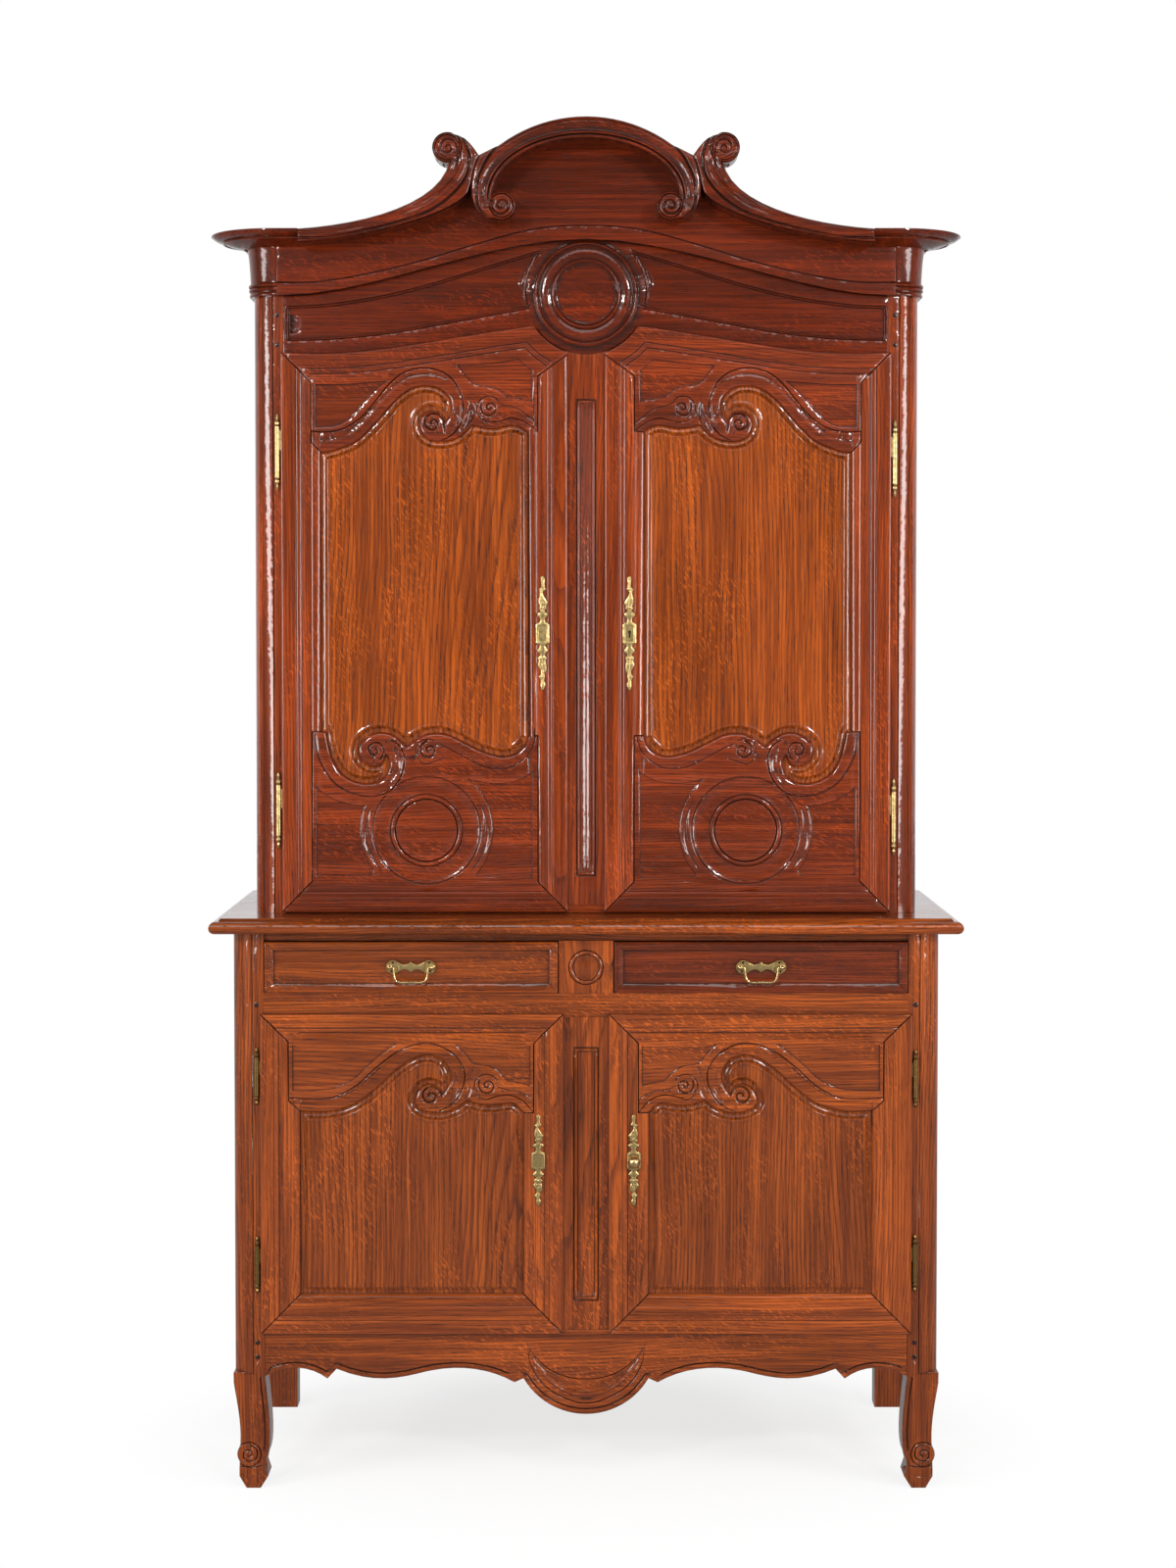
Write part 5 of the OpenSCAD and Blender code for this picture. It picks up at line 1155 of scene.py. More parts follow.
class UpperFronts:
    """Carves the frieze, the pediment and the upper mullion."""

    medallion = (0.0, 2204.0)

    def frieze(self) -> None:
        """Carves the frieze with its sunk fields and the medallion."""
        c = self.medallion
        top = [(-551, 2178.4), (-472, 2183), (-380, 2197), (-289, 2219), (-180, 2252), (-84, 2281)]
        low = [(-105, 2180), (-253, 2153), (-362, 2134), (-472, 2123), (-551, 2121)]
        inner = [(-84, 2281), (-96, 2262), (-106, 2236), (-110, 2206), (-105, 2180)]
        crescent = smooth([(-89, 2279), (-104, 2254), (-113, 2226), (-114, 2200), (-107, 2178)])
        shadow = smooth([(-94, 2274), (-112, 2248), (-121, 2218), (-117, 2188)])
        scoop = smooth([(-547, 2131.5), (-547, 2168.5)], 4)
        scooped = chain([(-547, 2132)], bow((-552.2, 2150), 18.7, -74, 74, 2.0), [(-547, 2168)])
        carves: list[Carve] = []
        for turn in (facing(1), facing(-1)):
            carves += [sunk(turn(chain(smooth(top), smooth(inner), smooth(low))), 3.4, 2.0),
                       bead(turn(smooth(top)), 2.0, 1.4, 2.4), bead(turn(smooth(low)), 1.8, 1.2, 2.2),
                       bead(turn(smooth([(-551, 2121), (-551, 2178)], 12)), 1.8, 1.2, 2.2),
                       roll(turn(crescent), 3.0, 3.4, [(0, 0.2), (0.2, 1), (0.8, 1), (1, 0.2)]),
                       hollow(turn(shadow), 10, 5.0, taper(0.05)),
                       Carve(turn(scoop), [(0, -8.9), (14, -3.3)], only=closed(turn(scooped)))]
        carves += [Carve(ring(c, 89), [(0, -2.2), (0.8, -1.6), (2.0, 0)]), roll(ring(c, 92.5), 2.0, 1.0),
                   Carve(ring(c, 75), [(0, -1.2), (5, -2.6), (9, -3.6), (11, -2.0), (12.2, 0)]),
                   roll(ring(c, 62.5), 3.4, 3.0), groove(ring(c, 66.6), 1.2, 2.6), groove(ring(c, 56.5), 1.6, 2.6),
                   field_cut(ring(c, 55), [(0, -1.6), (6, -1.8), (20, -0.8), (40, -0.1), (55, 0)])]
        disc = ring(c, 97)
        rise: Profile = [(0, 0), (1, 1.6), (2.5, 2.6), (4, 3.0)]
        lifted = edge_level(disc, rise)

        def proud(points: Array) -> Array:
            """Raises the medallion's disc."""
            return np.where(within(points, disc), lifted(points), 0.0)

        front = Front("frieze_rail", "upper_case", UP_Y, 9.6, FRIEZE_OAK, Grain.ACROSS, 21)
        front.carve("carved_frieze", carves, [(0, -0.8), (1.0, 0)], proud, [disc, *edge_rows(disc, rise)])

    def board(self) -> None:
        """Cuts the fascia line into the pediment board."""
        half = [(-571, 2224), (-494, 2225), (-401, 2240), (-308, 2262), (-215, 2290), (-122, 2316), (-60, 2326),
            (0, 2328)]
        line = chain(smooth(half), smooth(flip(half)))
        step = Carve(line, [(0, 0.9), (1.2, 1.6), (60, 1.6)], side=-1, raised=True)
        front = Front("pediment_board", "upper_case", UP_Y - 12, 8.0, FRIEZE_OAK, Grain.ACROSS, 22)
        front.carve("pediment_field", [groove(line, 2.2, 3.4), step], [(0, -0.8), (1.0, 0)])

    def scrolls(self) -> None:
        """Carves the swan necks and the arch with their volutes."""
        node, y, thick = "pediment_scrolls", UP_Y - 80, 22.0
        free, inner = (-252.0, 2460.0), (-154.0, 2355.0)
        arch_half = 60
        bevel: Profile = [(0, -5.0), (1.2, -4.6), (2.4, -1.2), (3.6, -0.2), (5, 0)]
        shell = behind(node, y + thick)
        for loop in slice_loops(node, y + thick - 0.4):
            loop = closed(loop)
            if abs(loop[:, 0].mean()) > arch_half:
                hand = 1 if loop[:, 0].mean() < 0 else -1
                turn = facing(hand)
                top = portion(loop[:-1], (-571 * hand, 2314), (-270 * hand, 2440))
                if (top[0, 0] > top[-1, 0]) == (hand > 0):
                    top = top[::-1]
                low = turn(smooth([(-571, 2297), (-520, 2297), (-457, 2299), (-393, 2312), (-340, 2326), (-300, 2339),
                                   (-278, 2349), (-252, 2367), (-231, 2388), (-219, 2406), (-213, 2424), (-212, 2446),
                                   (-217, 2464), (-227, 2479), (-241, 2486)]))
                crest = turn(smooth([(-540, 2306), (-457, 2308), (-393, 2322), (-340, 2338), (-300, 2353), (-276, 2368),
                                     (-252, 2387), (-236, 2404), (-225, 2424), (-222, 2444), (-226, 2462)]))
                eye = (free[0] * hand, free[1])
                carves = [Carve(low, bevel),
                          Carve(top, [(0, -5.0), (1.0, -2.6), (3, -0.6), (5, 0.4), (8, 0), (11, -1.6), (14, -2.2),
                                      (18, -1.0), (21, 0)]),
                          roll(crest, 7.0, 2.2, [(0, 0.3), (0.3, 1), (1, 0.7)]), groove(ring(eye, 22.5, 2.0), 1.6, 3.0),
                          groove(turn(bow(free, (18.5, 3.0), -35, 500, 2.0)), 3.0, 4.0),
                          field_cut(ring(eye, 27), [(0, -5), (1, -2.6), (2.5, -0.8), (4, 0)])]
                profile = [(0, -3.4), (0.8, -2.0), (2.4, -1.0), (4, -0.8), (8, 0)]
            else:
                carves = []
                for hand in (1, -1):
                    turn = facing(hand)
                    outer = turn(smooth([(-160, 2462), (-169, 2453), (-179, 2440), (-188, 2423), (-195, 2408),
                                         (-198.5, 2392), (-199, 2376), (-197, 2357), (-191, 2344), (-181, 2336)]))
                    carves += [Carve(outer, bevel), groove(ring((inner[0] * hand, inner[1]), 21.5, 2.0), 1.6, 4.0),
                               groove(turn(bow(inner, (17.5, 3.0), 170, 710, 2.0)), 3.2, 5.0)]
                ellipse = np.array([(-171 * math.cos(t), 2371 + 106 * math.sin(t))
                    for t in np.linspace(0, math.pi, 90)])
                carves.append(Carve(ellipse, [(0, -2.2), (0.8, -1.2), (2, -0.6), (5, -0.6), (6, -2.0), (6.8, -5.2),
                                              (7.8, -5.2), (8.8, -1.6), (10, 0.6), (11.5, 0.4), (14, -2.2), (18, -2.0),
                                              (22, 0.8), (26, 2.2), (30, 1.8), (34, 0)], side=1))
                profile = [(0, -4.4), (0.8, -2.6), (2.4, -1.1), (4, -0.6), (8, 0)]
            Relief(loop, y, thick, carves, [], edge_level(loop, profile), None, edge_rows(loop, profile),
                9.0).build(shell)
        finish_piece("pediment_scroll_mouldings", shell, [FRIEZE_OAK.build(Grain.ACROSS, 23)], "upper_case", node)


def upper_posts() -> None:
    """Cuts the line between the upper posts' round corner and their flat strip."""
    corner, r, thick = 570.0, 46.0, 11.6
    # The sheet ends where the round corner comes near its back
    reach = math.sqrt(r ** 2 - (r - thick + Relief.least) ** 2)
    for side, hand in (("left", -1), ("right", 1)):
        node = f"upper_front_{side}_post"
        low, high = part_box(node)
        foot, top = low[2] / MM, high[2] / MM

        def level(points: Array, hand: int = hand) -> Array:
            """Follows the post's round corner."""
            out = np.clip(points[:, 0] * hand - corner, 0, reach)
            return np.sqrt(r ** 2 - out ** 2) - r

        def upright(x: float, hand: int = hand, foot: float = foot, top: float = top) -> Array:
            """Draws a line along the post."""
            return np.array([(hand * x, foot), (hand * x, top)])

        inner = min(abs(low[0]), abs(high[0])) / MM
        outline = closed(chain(upright(inner), upright(corner + reach)[::-1]))
        cuts = [groove(upright(579.2), 1.4, 3.0), Carve(upright(inner), [(0, -0.8), (1, 0)])]
        shell = behind(node, UP_Y + thick)
        lines = [upright(corner + d) for d in (4, 13, 17, 21, 24.5, 27.5)]
        Relief(outline, UP_Y, thick, cuts, [], level, None, lines, 30.0).build(shell)
        finish_piece(f"upper_{side}_post_with_quirk", shell, [UPPER_OAK.build(Grain.UPRIGHT, 51 + hand)], "upper_case",
            node)


def mullion_carves(half: float, low: float, high: float) -> list[Carve]:
    """Draws the sunk, beaded field of a mullion.

    Args:
        half: Half the field's width.
        low: Its lower end.
        high: Its upper end.

    Returns:
        The cuts.
    """
    def frame_line(inset: float) -> Array:
        """Draws the field's outline, moved inwards."""
        h, z0, z1 = half - inset, low + inset, high - inset
        right, left = (smooth([(x, a), (x, b)], 20) for x, a, b in ((h, z0, z1), (-h, z1, z0)))
        return chain([(-h, z0), (h, z0)], right, [(-h, z1)], left)

    return [groove(frame_line(0), 1.3, 2.6), bead(frame_line(4.2), 2.8, 2.2, 2.4), sunk(frame_line(8.4), 2.8, 1.2)]


class LowerFronts:
    """Carves the drawers, the apron, the feet and the lower mullion."""

    def drawers(self) -> None:
        """Moulds the two drawer fronts with their mitred edges."""
        width = 16
        edge: Profile = [(0, -2.6), (0.7, -1.2), (2, -0.2), (3.5, 0), (9.5, 0), (10.4, -0.9), (11.4, -1.1),
            (12.2, -0.5), (14, -0.8), (15.6, -2.4), (16.6, -4.0), (20, -4.0)]
        for side, hand, oak in (("left", 1, LOWER_OAK), ("right", -1, DARK_OAK)):
            node = f"{side}_drawer_front"
            low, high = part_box(node)
            mitres = [groove(chain([(x, z), (x + s * width, z + t * width)]), 0.5, 1.2)
                      for x, s in ((low[0] / MM, 1), (high[0] / MM, -1))
                      for z, t in ((low[2] / MM, 1), (high[2] / MM, -1))]
            front = Front(node, f"{side}_drawer", LOW_Y - 4.0, 7.0, oak, Grain.ACROSS, 31 + hand)
            front.carve(f"{side}_drawer_moulded_front", mitres, edge)

    def apron(self) -> None:
        """Cuts the apron's bead and its crescent."""
        node = "apron_rail"
        loop = closed(max(slice_loops(node, LOW_Y + 1), key=len))[:-1]
        lowest = portion(loop, (-592, 214), (0, 135))
        lowest = lowest if lowest[0, 0] < lowest[-1, 0] else lowest[::-1]
        line = chain(lowest, flip(lowest))
        top_arc, scooped, crest_arc, low_arc = (smooth(mirrored(half)) for half in (
            [(-108, 266), (-90, 240), (-62, 218), (-30, 206), (0, 203)],
            [(-104, 258), (-94, 236), (-70, 212), (-36, 192), (0, 186)],
            [(-107, 262), (-96, 236), (-72, 208), (-38, 184), (0, 174)],
            [(-107, 260), (-102, 230), (-82, 196), (-44, 170), (0, 158)]))
        swell: Profile = [(0, 0.15), (0.12, 0.7), (0.5, 1), (0.88, 0.7), (1, 0.15)]
        carves = [Carve(line, [(7.4, 0), (8.4, -1.4), (9.0, -3.2), (10.2, -3.2), (11.0, -1.2), (12.2, 0)], side=1),
                  groove(top_arc, 2.0, 3.4, swell), groove(low_arc, 2.0, 3.4, swell),
                  hollow(scooped, 10, 3.6, swell), roll(crest_arc, 5.0, 2.4, swell)]
        front = Front(node, "lower_case", LOW_Y, 5.0, LOWER_OAK, Grain.ACROSS, 34)
        front.carve("carved_apron", carves, [(0, -1.6), (0.8, -0.6), (2.2, 0)])

    def mullions(self) -> None:
        """Moulds the two mullions; the upper one has a deep cove along its middle."""
        cove = Carve(smooth([(0.0, 1142.0), (0.0, 1994.0)], 20),
                     [(0, -5.2), (1.2, -4.9), (3.2, -4.0), (6.2, -2.5), (8.6, -1.2)])
        for tier, y, oak, seed, carves in (("lower", LOW_Y, LOWER_OAK, 36, mullion_carves(23, 349, 818)),
                                           ("upper", UP_Y, UPPER_OAK, 37, [*mullion_carves(18, 1126, 2010), cove])):
            front = Front(f"{tier}_mullion", f"{tier}_case", y, 5.4, oak, Grain.UPRIGHT, seed, 18, filled=True)
            front.carve(f"moulded_{tier}_mullion", carves, [(0, -0.5), (0.8, 0)])

    def legs(self) -> None:
        """Carves the feet: inner bead, scroll and neck."""
        eye, front, thick = (-622.0, 63.0), LOW_Y, 9.0
        # Carving reaches up to here, and its rounded edge fades out just below
        joint, fade = 213.0, 208.0
        edge: Profile = [(0, -2.6), (0.8, -1.3), (2.4, -0.4), (4.5, 0)]
        for side, hand in (("left", 1), ("right", -1)):
            node = f"lower_front_{side}_post"
            turn = facing(hand)
            shell, low_part = node_copy(node), node_copy(node)
            cut_off(shell, (0, 0, joint), (0, 0, 1))
            cut_off(low_part, (0, 0, joint), (0, 0, -1))
            cut_off(low_part, (0, front + thick, 0), (0, 1, 0))
            spare = bpy.data.meshes.new("spare")
            low_part.to_mesh(spare)
            low_part.free()
            shell.from_mesh(spare)
            bpy.data.meshes.remove(spare)
            loop = max(slice_loops(node, front + 1), key=lambda line: np.ptp(line[:, 1]))
            foot = loop[loop[:, 1] < joint - 0.01]
            start = int(np.argmax(np.hypot(*(foot - np.roll(foot, 1, 0)).T)))
            foot = np.roll(foot, -start, 0)
            outline = closed(np.concatenate([foot, [(foot[-1, 0], joint), (foot[0, 0], joint)]]))
            inner = portion(outline[:-1], (-592 * hand, 205), (-601 * hand, 78))
            if (inner[0, 1] < inner[-1, 1]) != (hand > 0):
                inner = inner[::-1]

            def level(points: Array, rounded: Callable[[Array], Array] = edge_level(outline, edge)) -> Array:
                """Rounds the foot's edges, but not where it meets the post."""
                value = rounded(points)
                return np.where(points[:, 1] > fade, np.maximum(value, -0.4), value)

            carves = [Carve(inner, [(6.6, 0), (7.6, -1.0), (8.4, -2.6), (9.2, -2.6), (10.2, -0.8), (11.4, 0)], side=1),
                      field_cut(closed(turn(ring(eye, 22))), [(0, 0.4), (0.8, 1.6), (2.5, 2.4), (6, 2.0), (22, 2.0)]),
                      groove(turn(ring(eye, 22.6)), 1.2, 2.4),
                      groove(turn(bow(eye, (17.5, 2.5), 80, -470, 1.5)), 2.4, 3.4),
                      groove(turn(smooth([(-640, 41), (-622, 39), (-598, 41)])), 2.0, 2.8),
                      groove(turn(smooth([(-637, 26), (-622, 21), (-600, 26)])), 1.0, 0.8)]
            Relief(outline, front, thick, carves, [], level, None, edge_rows(outline, edge), 9.0).build(shell)
            finish_piece(f"{node}_with_carved_foot", shell, [LOWER_OAK.build(Grain.UPRIGHT, 45 + hand)], "lower_case",
                         node)

    def divider(self) -> None:
        """Carves the turned ring between the drawers."""
        c = (0.0, 965.0)
        carves = [groove(ring(c, 31.4, 1.5), 1.4, 2.4), roll(ring(c, 27.6, 1.5), 3.3, 2.8),
                  groove(ring(c, 23.7, 1.5), 1.4, 2.4),
                  field_cut(closed(ring(c, 23, 1.5)), [(0, -1.4), (5, -2.4), (12, -1.6), (23, -0.6)])]
        front = Front("drawer_divider", "lower_case", LOW_Y, 4.6, LOWER_OAK, Grain.UPRIGHT, 38, 12)
        front.carve("carved_divider", carves)


# ---------------------------------------------------------------- what follows a path or repeats
class Makers:
    """Geometry Nodes groups that sweep a profile along a path and repeat a piece on points."""

    @staticmethod
    def tree(name: str, sockets: list[tuple[str, str]]) -> bpy.types.NodeTree:
        """Opens a node group with named inputs.

        Args:
            name: The group's name.
            sockets: Names and types of its inputs after the geometry.

        Returns:
            The empty group.
        """
        tree = bpy.data.node_groups.new(name, "GeometryNodeTree")
        tree.interface.new_socket("Geometry", in_out="INPUT", socket_type="NodeSocketGeometry")
        for label, kind in sockets:
            tree.interface.new_socket(label, in_out="INPUT", socket_type=kind)
        tree.interface.new_socket("Geometry", in_out="OUTPUT", socket_type="NodeSocketGeometry")
        return tree

    @staticmethod
    def close(n: Nodes, geometry: bpy.types.NodeSocket, material: bpy.types.NodeSocket) -> None:
        """Ends a group: realizes the instances and sets the material."""
        real = n.add("GeometryNodeRealizeInstances", {0: geometry}).outputs[0]
        coated = n.add("GeometryNodeSetMaterial", {"Geometry": real, "Material": material}).outputs[0]
        n.add("NodeGroupOutput", {0: coated})

    def sweep(self, upright: bool) -> bpy.types.NodeTree:
        """Makes the group that sweeps a closed profile along the base's lines.

        Args:
            upright: Whether the profile keeps upright along the path.

        Returns:
            The group.
        """
        name = "sweep_upright" if upright else "sweep_round"
        if name in bpy.data.node_groups:
            return bpy.data.node_groups[name]
        tree = self.tree(name, [("Profile", "NodeSocketObject"), ("Close Ends", "NodeSocketBool"),
                                ("Material", "NodeSocketMaterial")])
        n = Nodes(tree)
        given = n.add("NodeGroupInput").outputs
        path = n.add("GeometryNodeMeshToCurve", {"Mesh": given["Geometry"]}).outputs[0]
        mode = "Z_UP" if upright else "MINIMUM_TWIST"
        path = n.add("GeometryNodeSetCurveNormal", {"Curve": path}, mode=mode).outputs[0]
        shape = n.add("GeometryNodeObjectInfo", {"Object": given["Profile"]}).outputs["Geometry"]
        outline = n.add("GeometryNodeMeshToCurve", {"Mesh": shape}).outputs[0]
        links = {"Curve": path, "Profile Curve": outline, "Fill Caps": given["Close Ends"]}
        self.close(n, n.add("GeometryNodeCurveToMesh", links).outputs[0], given["Material"])
        return tree

    def repeat(self) -> bpy.types.NodeTree:
        """Makes the group that sets a piece on each of the base's points, turned and sized by a fixed seed."""
        name = "repeat_on_points"
        if name in bpy.data.node_groups:
            return bpy.data.node_groups[name]
        tree = self.tree(name,
            [("Piece", "NodeSocketObject"), ("Turn", "NodeSocketFloat"), ("Spread", "NodeSocketFloat"),
            ("Seed", "NodeSocketInt"), ("Material", "NodeSocketMaterial")])
        n = Nodes(tree)
        given = n.add("NodeGroupInput").outputs
        spots = n.add("GeometryNodeMeshToPoints", {"Mesh": given["Geometry"]}).outputs[0]
        piece = n.add("GeometryNodeObjectInfo", {"Object": given["Piece"]}).outputs["Geometry"]
        back = n.times(given["Turn"], -1.0)
        small, large = n.math("SUBTRACT", 1.0, given["Spread"]), n.plus(1.0, given["Spread"])
        turn, size = (n.add("FunctionNodeRandomValue", {2: low, 3: high, 8: given["Seed"]},
            data_type="FLOAT").outputs[1] for low, high in ((back, given["Turn"]), (small, large)))
        spin = n.add("ShaderNodeCombineXYZ", {1: turn}).outputs[0]
        links = {"Points": spots, "Instance": piece, "Rotation": spin, "Scale": size}
        self.close(n, n.add("GeometryNodeInstanceOnPoints", links).outputs[0], given["Material"])
        return tree

    def run(self, tree: bpy.types.NodeTree, points: Array, edges: list[tuple[int, int]],
            settings: dict[str, object]) -> bmesh.types.BMesh:
        """Runs a group on a base of points and edges in millimetres.

        Args:
            tree: The group.
            points: The base's points.
            edges: The base's edges.
            settings: Values by input name.

        Returns:
            The finished mesh.
        """
        base = bpy.data.meshes.new("base")
        base.from_pydata([tuple(p * MM) for p in np.asarray(points, float)], edges, [])
        item = bpy.data.objects.new("base", base)
        bpy.context.scene.collection.objects.link(item)
        modifier = item.modifiers.new("maker", "NODES")
        modifier.node_group = tree
        names = {s.name: s.identifier for s in tree.interface.items_tree if s.in_out == "INPUT"}
        for label, value in settings.items():
            modifier[names[label]] = value
        made = bpy.data.meshes.new_from_object(item.evaluated_get(bpy.context.evaluated_depsgraph_get()))
        shell = bmesh.new()
        shell.from_mesh(made)
        bmesh.ops.remove_doubles(shell, verts=shell.verts, dist=1e-6)
        bpy.data.objects.remove(item)
        bpy.data.meshes.remove(base)
        bpy.data.meshes.remove(made)
        return shell

    @staticmethod
    def part(points: list[tuple[float, float, float]], edges: list[tuple[int, int]],
             faces: list[tuple[int, ...]] | None = None) -> bpy.types.Object:
        """Makes a helper object, in millimetres, that a group reads."""
        mesh = bpy.data.meshes.new("helper")
        mesh.from_pydata([tuple(c * MM for c in p) for p in points], edges, faces or [])
        item = bpy.data.objects.new("helper", mesh)
        bpy.context.scene.collection.objects.link(item)
        return item

    def swept(self, lines: list[Array], profile: Line, material: bpy.types.Material,
              upright: bool = True) -> bmesh.types.BMesh:
        """Sweeps a closed profile along lines.

        Args:
            lines: The paths, with the outside on their right.
            profile: Distances outwards and heights.
            material: The finish.
            upright: Whether the profile keeps upright.

        Returns:
            The swept mesh.
        """
        count = len(profile)
        shape = self.part([(d, -h, 0) for d, h in profile], [(i, (i + 1) % count) for i in range(count)])
        points, edges = [], []
        for line in lines:
            edges += [(len(points) + i, len(points) + i + 1) for i in range(len(line) - 1)]
            points += [tuple(p) for p in line]
        shell = self.run(self.sweep(upright), np.array(points), edges,
                         {"Profile": shape, "Close Ends": True, "Material": material})
        bpy.data.objects.remove(shape)
        return shell

    def turned(self, profile: Line, sides: int = 20, along: str = "y") -> bpy.types.Object:
        """Turns a profile of heights and radii into a helper piece; the height runs forwards or upwards."""
        points, faces = [], []
        for height, r in profile:
            for k in range(sides):
                a = 2 * math.pi * k / sides
                c, s = r * math.cos(a), r * math.sin(a)
                points.append((c, -height, s) if along == "y" else (c, s, height))
        rows = len(profile)
        for i in range(rows - 1):
            for k in range(sides):
                m = (k + 1) % sides
                faces.append((i * sides + k, i * sides + m, (i + 1) * sides + m, (i + 1) * sides + k))
        faces += [tuple(range(sides)), tuple(range((rows - 1) * sides, rows * sides))]
        return self.part(points, [], faces)

    def repeated(self, piece: bpy.types.Object, spots: list[tuple[float, float, float]], material: bpy.types.Material,
                 turn: float = 0.0, spread: float = 0.0, seed: int = 3) -> bmesh.types.BMesh:
        """Sets a helper piece on spots and removes the helper."""
        shell = self.run(self.repeat(), np.array(spots), [],
                         {"Piece": piece, "Turn": turn, "Spread": spread, "Seed": seed, "Material": material})
        bpy.data.objects.remove(piece)
        return shell


@dataclass
class Cornice:
    """The dished corners and the side cornice, swept round the upper case."""

    corner: tuple[float, float] = (570.0, -153.0)
    base: float = 46.0
    foot: float = 2200.0
    joint: float = 525.2
    back: float = 314.0
    behind_turn: float = 54.8
    deep: float = 8.0
    points: int = 60
    astragal: Profile = field(default_factory=lambda: [(54.6, 0), (55.9, 1.2), (56.2, 3.4), (55.4, 6.0), (54.3, 8),
        (54.4, 8.8), (56.6, 10), (57.6, 12.4), (56.9, 15.2), (55.4, 16.6), (57.5, 18), (58.2, 20.2), (57.3, 22.8),
        (54.5, 24.8), (54.2, 27)])
    neck: Profile = field(default_factory=lambda: [(54.8, 40), (56.6, 66), (58.8, 84), (59.4, 88)])
    rim: Profile = field(default_factory=lambda: [
        (60, 88.4), (63, 90.2), (76, 91.8), (88, 95), (98, 98.2), (101, 99), (102, 97.8), (104.6, 98.2), (106, 100.4),
        (105.4, 102), (107, 102.6), (112, 103.4), (117.4, 105.2), (121.4, 107.8), (123.6, 110), (124.2, 111),
        (126, 111.2), (126, 113.2), (124.6, 114)])
    side: Profile = field(default_factory=lambda: [
        (59, 86), (64, 88), (69, 92), (72.6, 97.6), (74, 99.8), (74.4, 101), (76.8, 102.6), (78, 105.6), (77.6, 108.8),
        (76, 110.6), (75, 113)])

    def arc(self, reach: float, hand: int, front: bool) -> Array:
        """Draws the path round a corner, with the outside on its right.

        Args:
            reach: How far it goes on behind the corner, in degrees.
            hand: 1 for the left corner and -1 for the right one.
            front: Whether it starts at the joint with the scrolls.

        Returns:
            The path.
        """
        x, y = self.corner
        turn = np.radians(np.linspace(180 - reach, 270, self.points))
        line = np.stack([self.base * np.cos(turn) - x, self.base * np.sin(turn) + y, np.full(self.points, self.foot)],
            1)
        if front:
            line = np.concatenate([line, [(-self.joint, y - self.base, self.foot)]])
        return line if hand > 0 else self.opposite(line)

    @staticmethod
    def opposite(line: Array) -> Array:
        """Mirrors a path to the other side and keeps its outside on its right."""
        return (line * (-1, 1, 1))[::-1]

    def build(self, makers: Makers) -> None:
        """Sweeps the rims, necks and side runs."""
        oak, dark = FRIEZE_OAK.build(Grain.DEEP, 41), FRIEZE_OAK.build(Grain.UPRIGHT, 42)
        x, y = self.corner

        def from_base(profile: Profile) -> Profile:
            """Counts the distances from the path instead of the corner's centre."""
            return [(d - self.base, h) for d, h in profile]

        rim = from_base([(58.4, 113.8), (58.4, 89), *self.rim])
        neck = from_base([(self.deep, 0.1), *self.astragal, *self.neck, (59.4, 113.8), (self.deep, 113.8)])
        run = from_base([(26.4, 0.1), *self.astragal, (55, 40), (56.6, 66), (58.4, 84), *self.side, (26.4, 113)])
        side = np.array([(-x - self.base, self.back - 0.2, self.foot), (-x - self.base, y + 0.1, self.foot)])
        for name, profile, lines, finish, nodes in (
                ("cornice_dish_rims", rim, [self.arc(self.behind_turn, hand, True) for hand in (1, -1)], oak,
                 ["cornice_ends"]),
                ("cornice_necks", neck, [self.arc(0, hand, False) for hand in (1, -1)], dark, []),
                ("cornice_side_runs", run, [side, self.opposite(side)], oak, [])):
            finish_piece(name, makers.swept(lines, profile, finish), [finish], "upper_case", *nodes, angle=30)


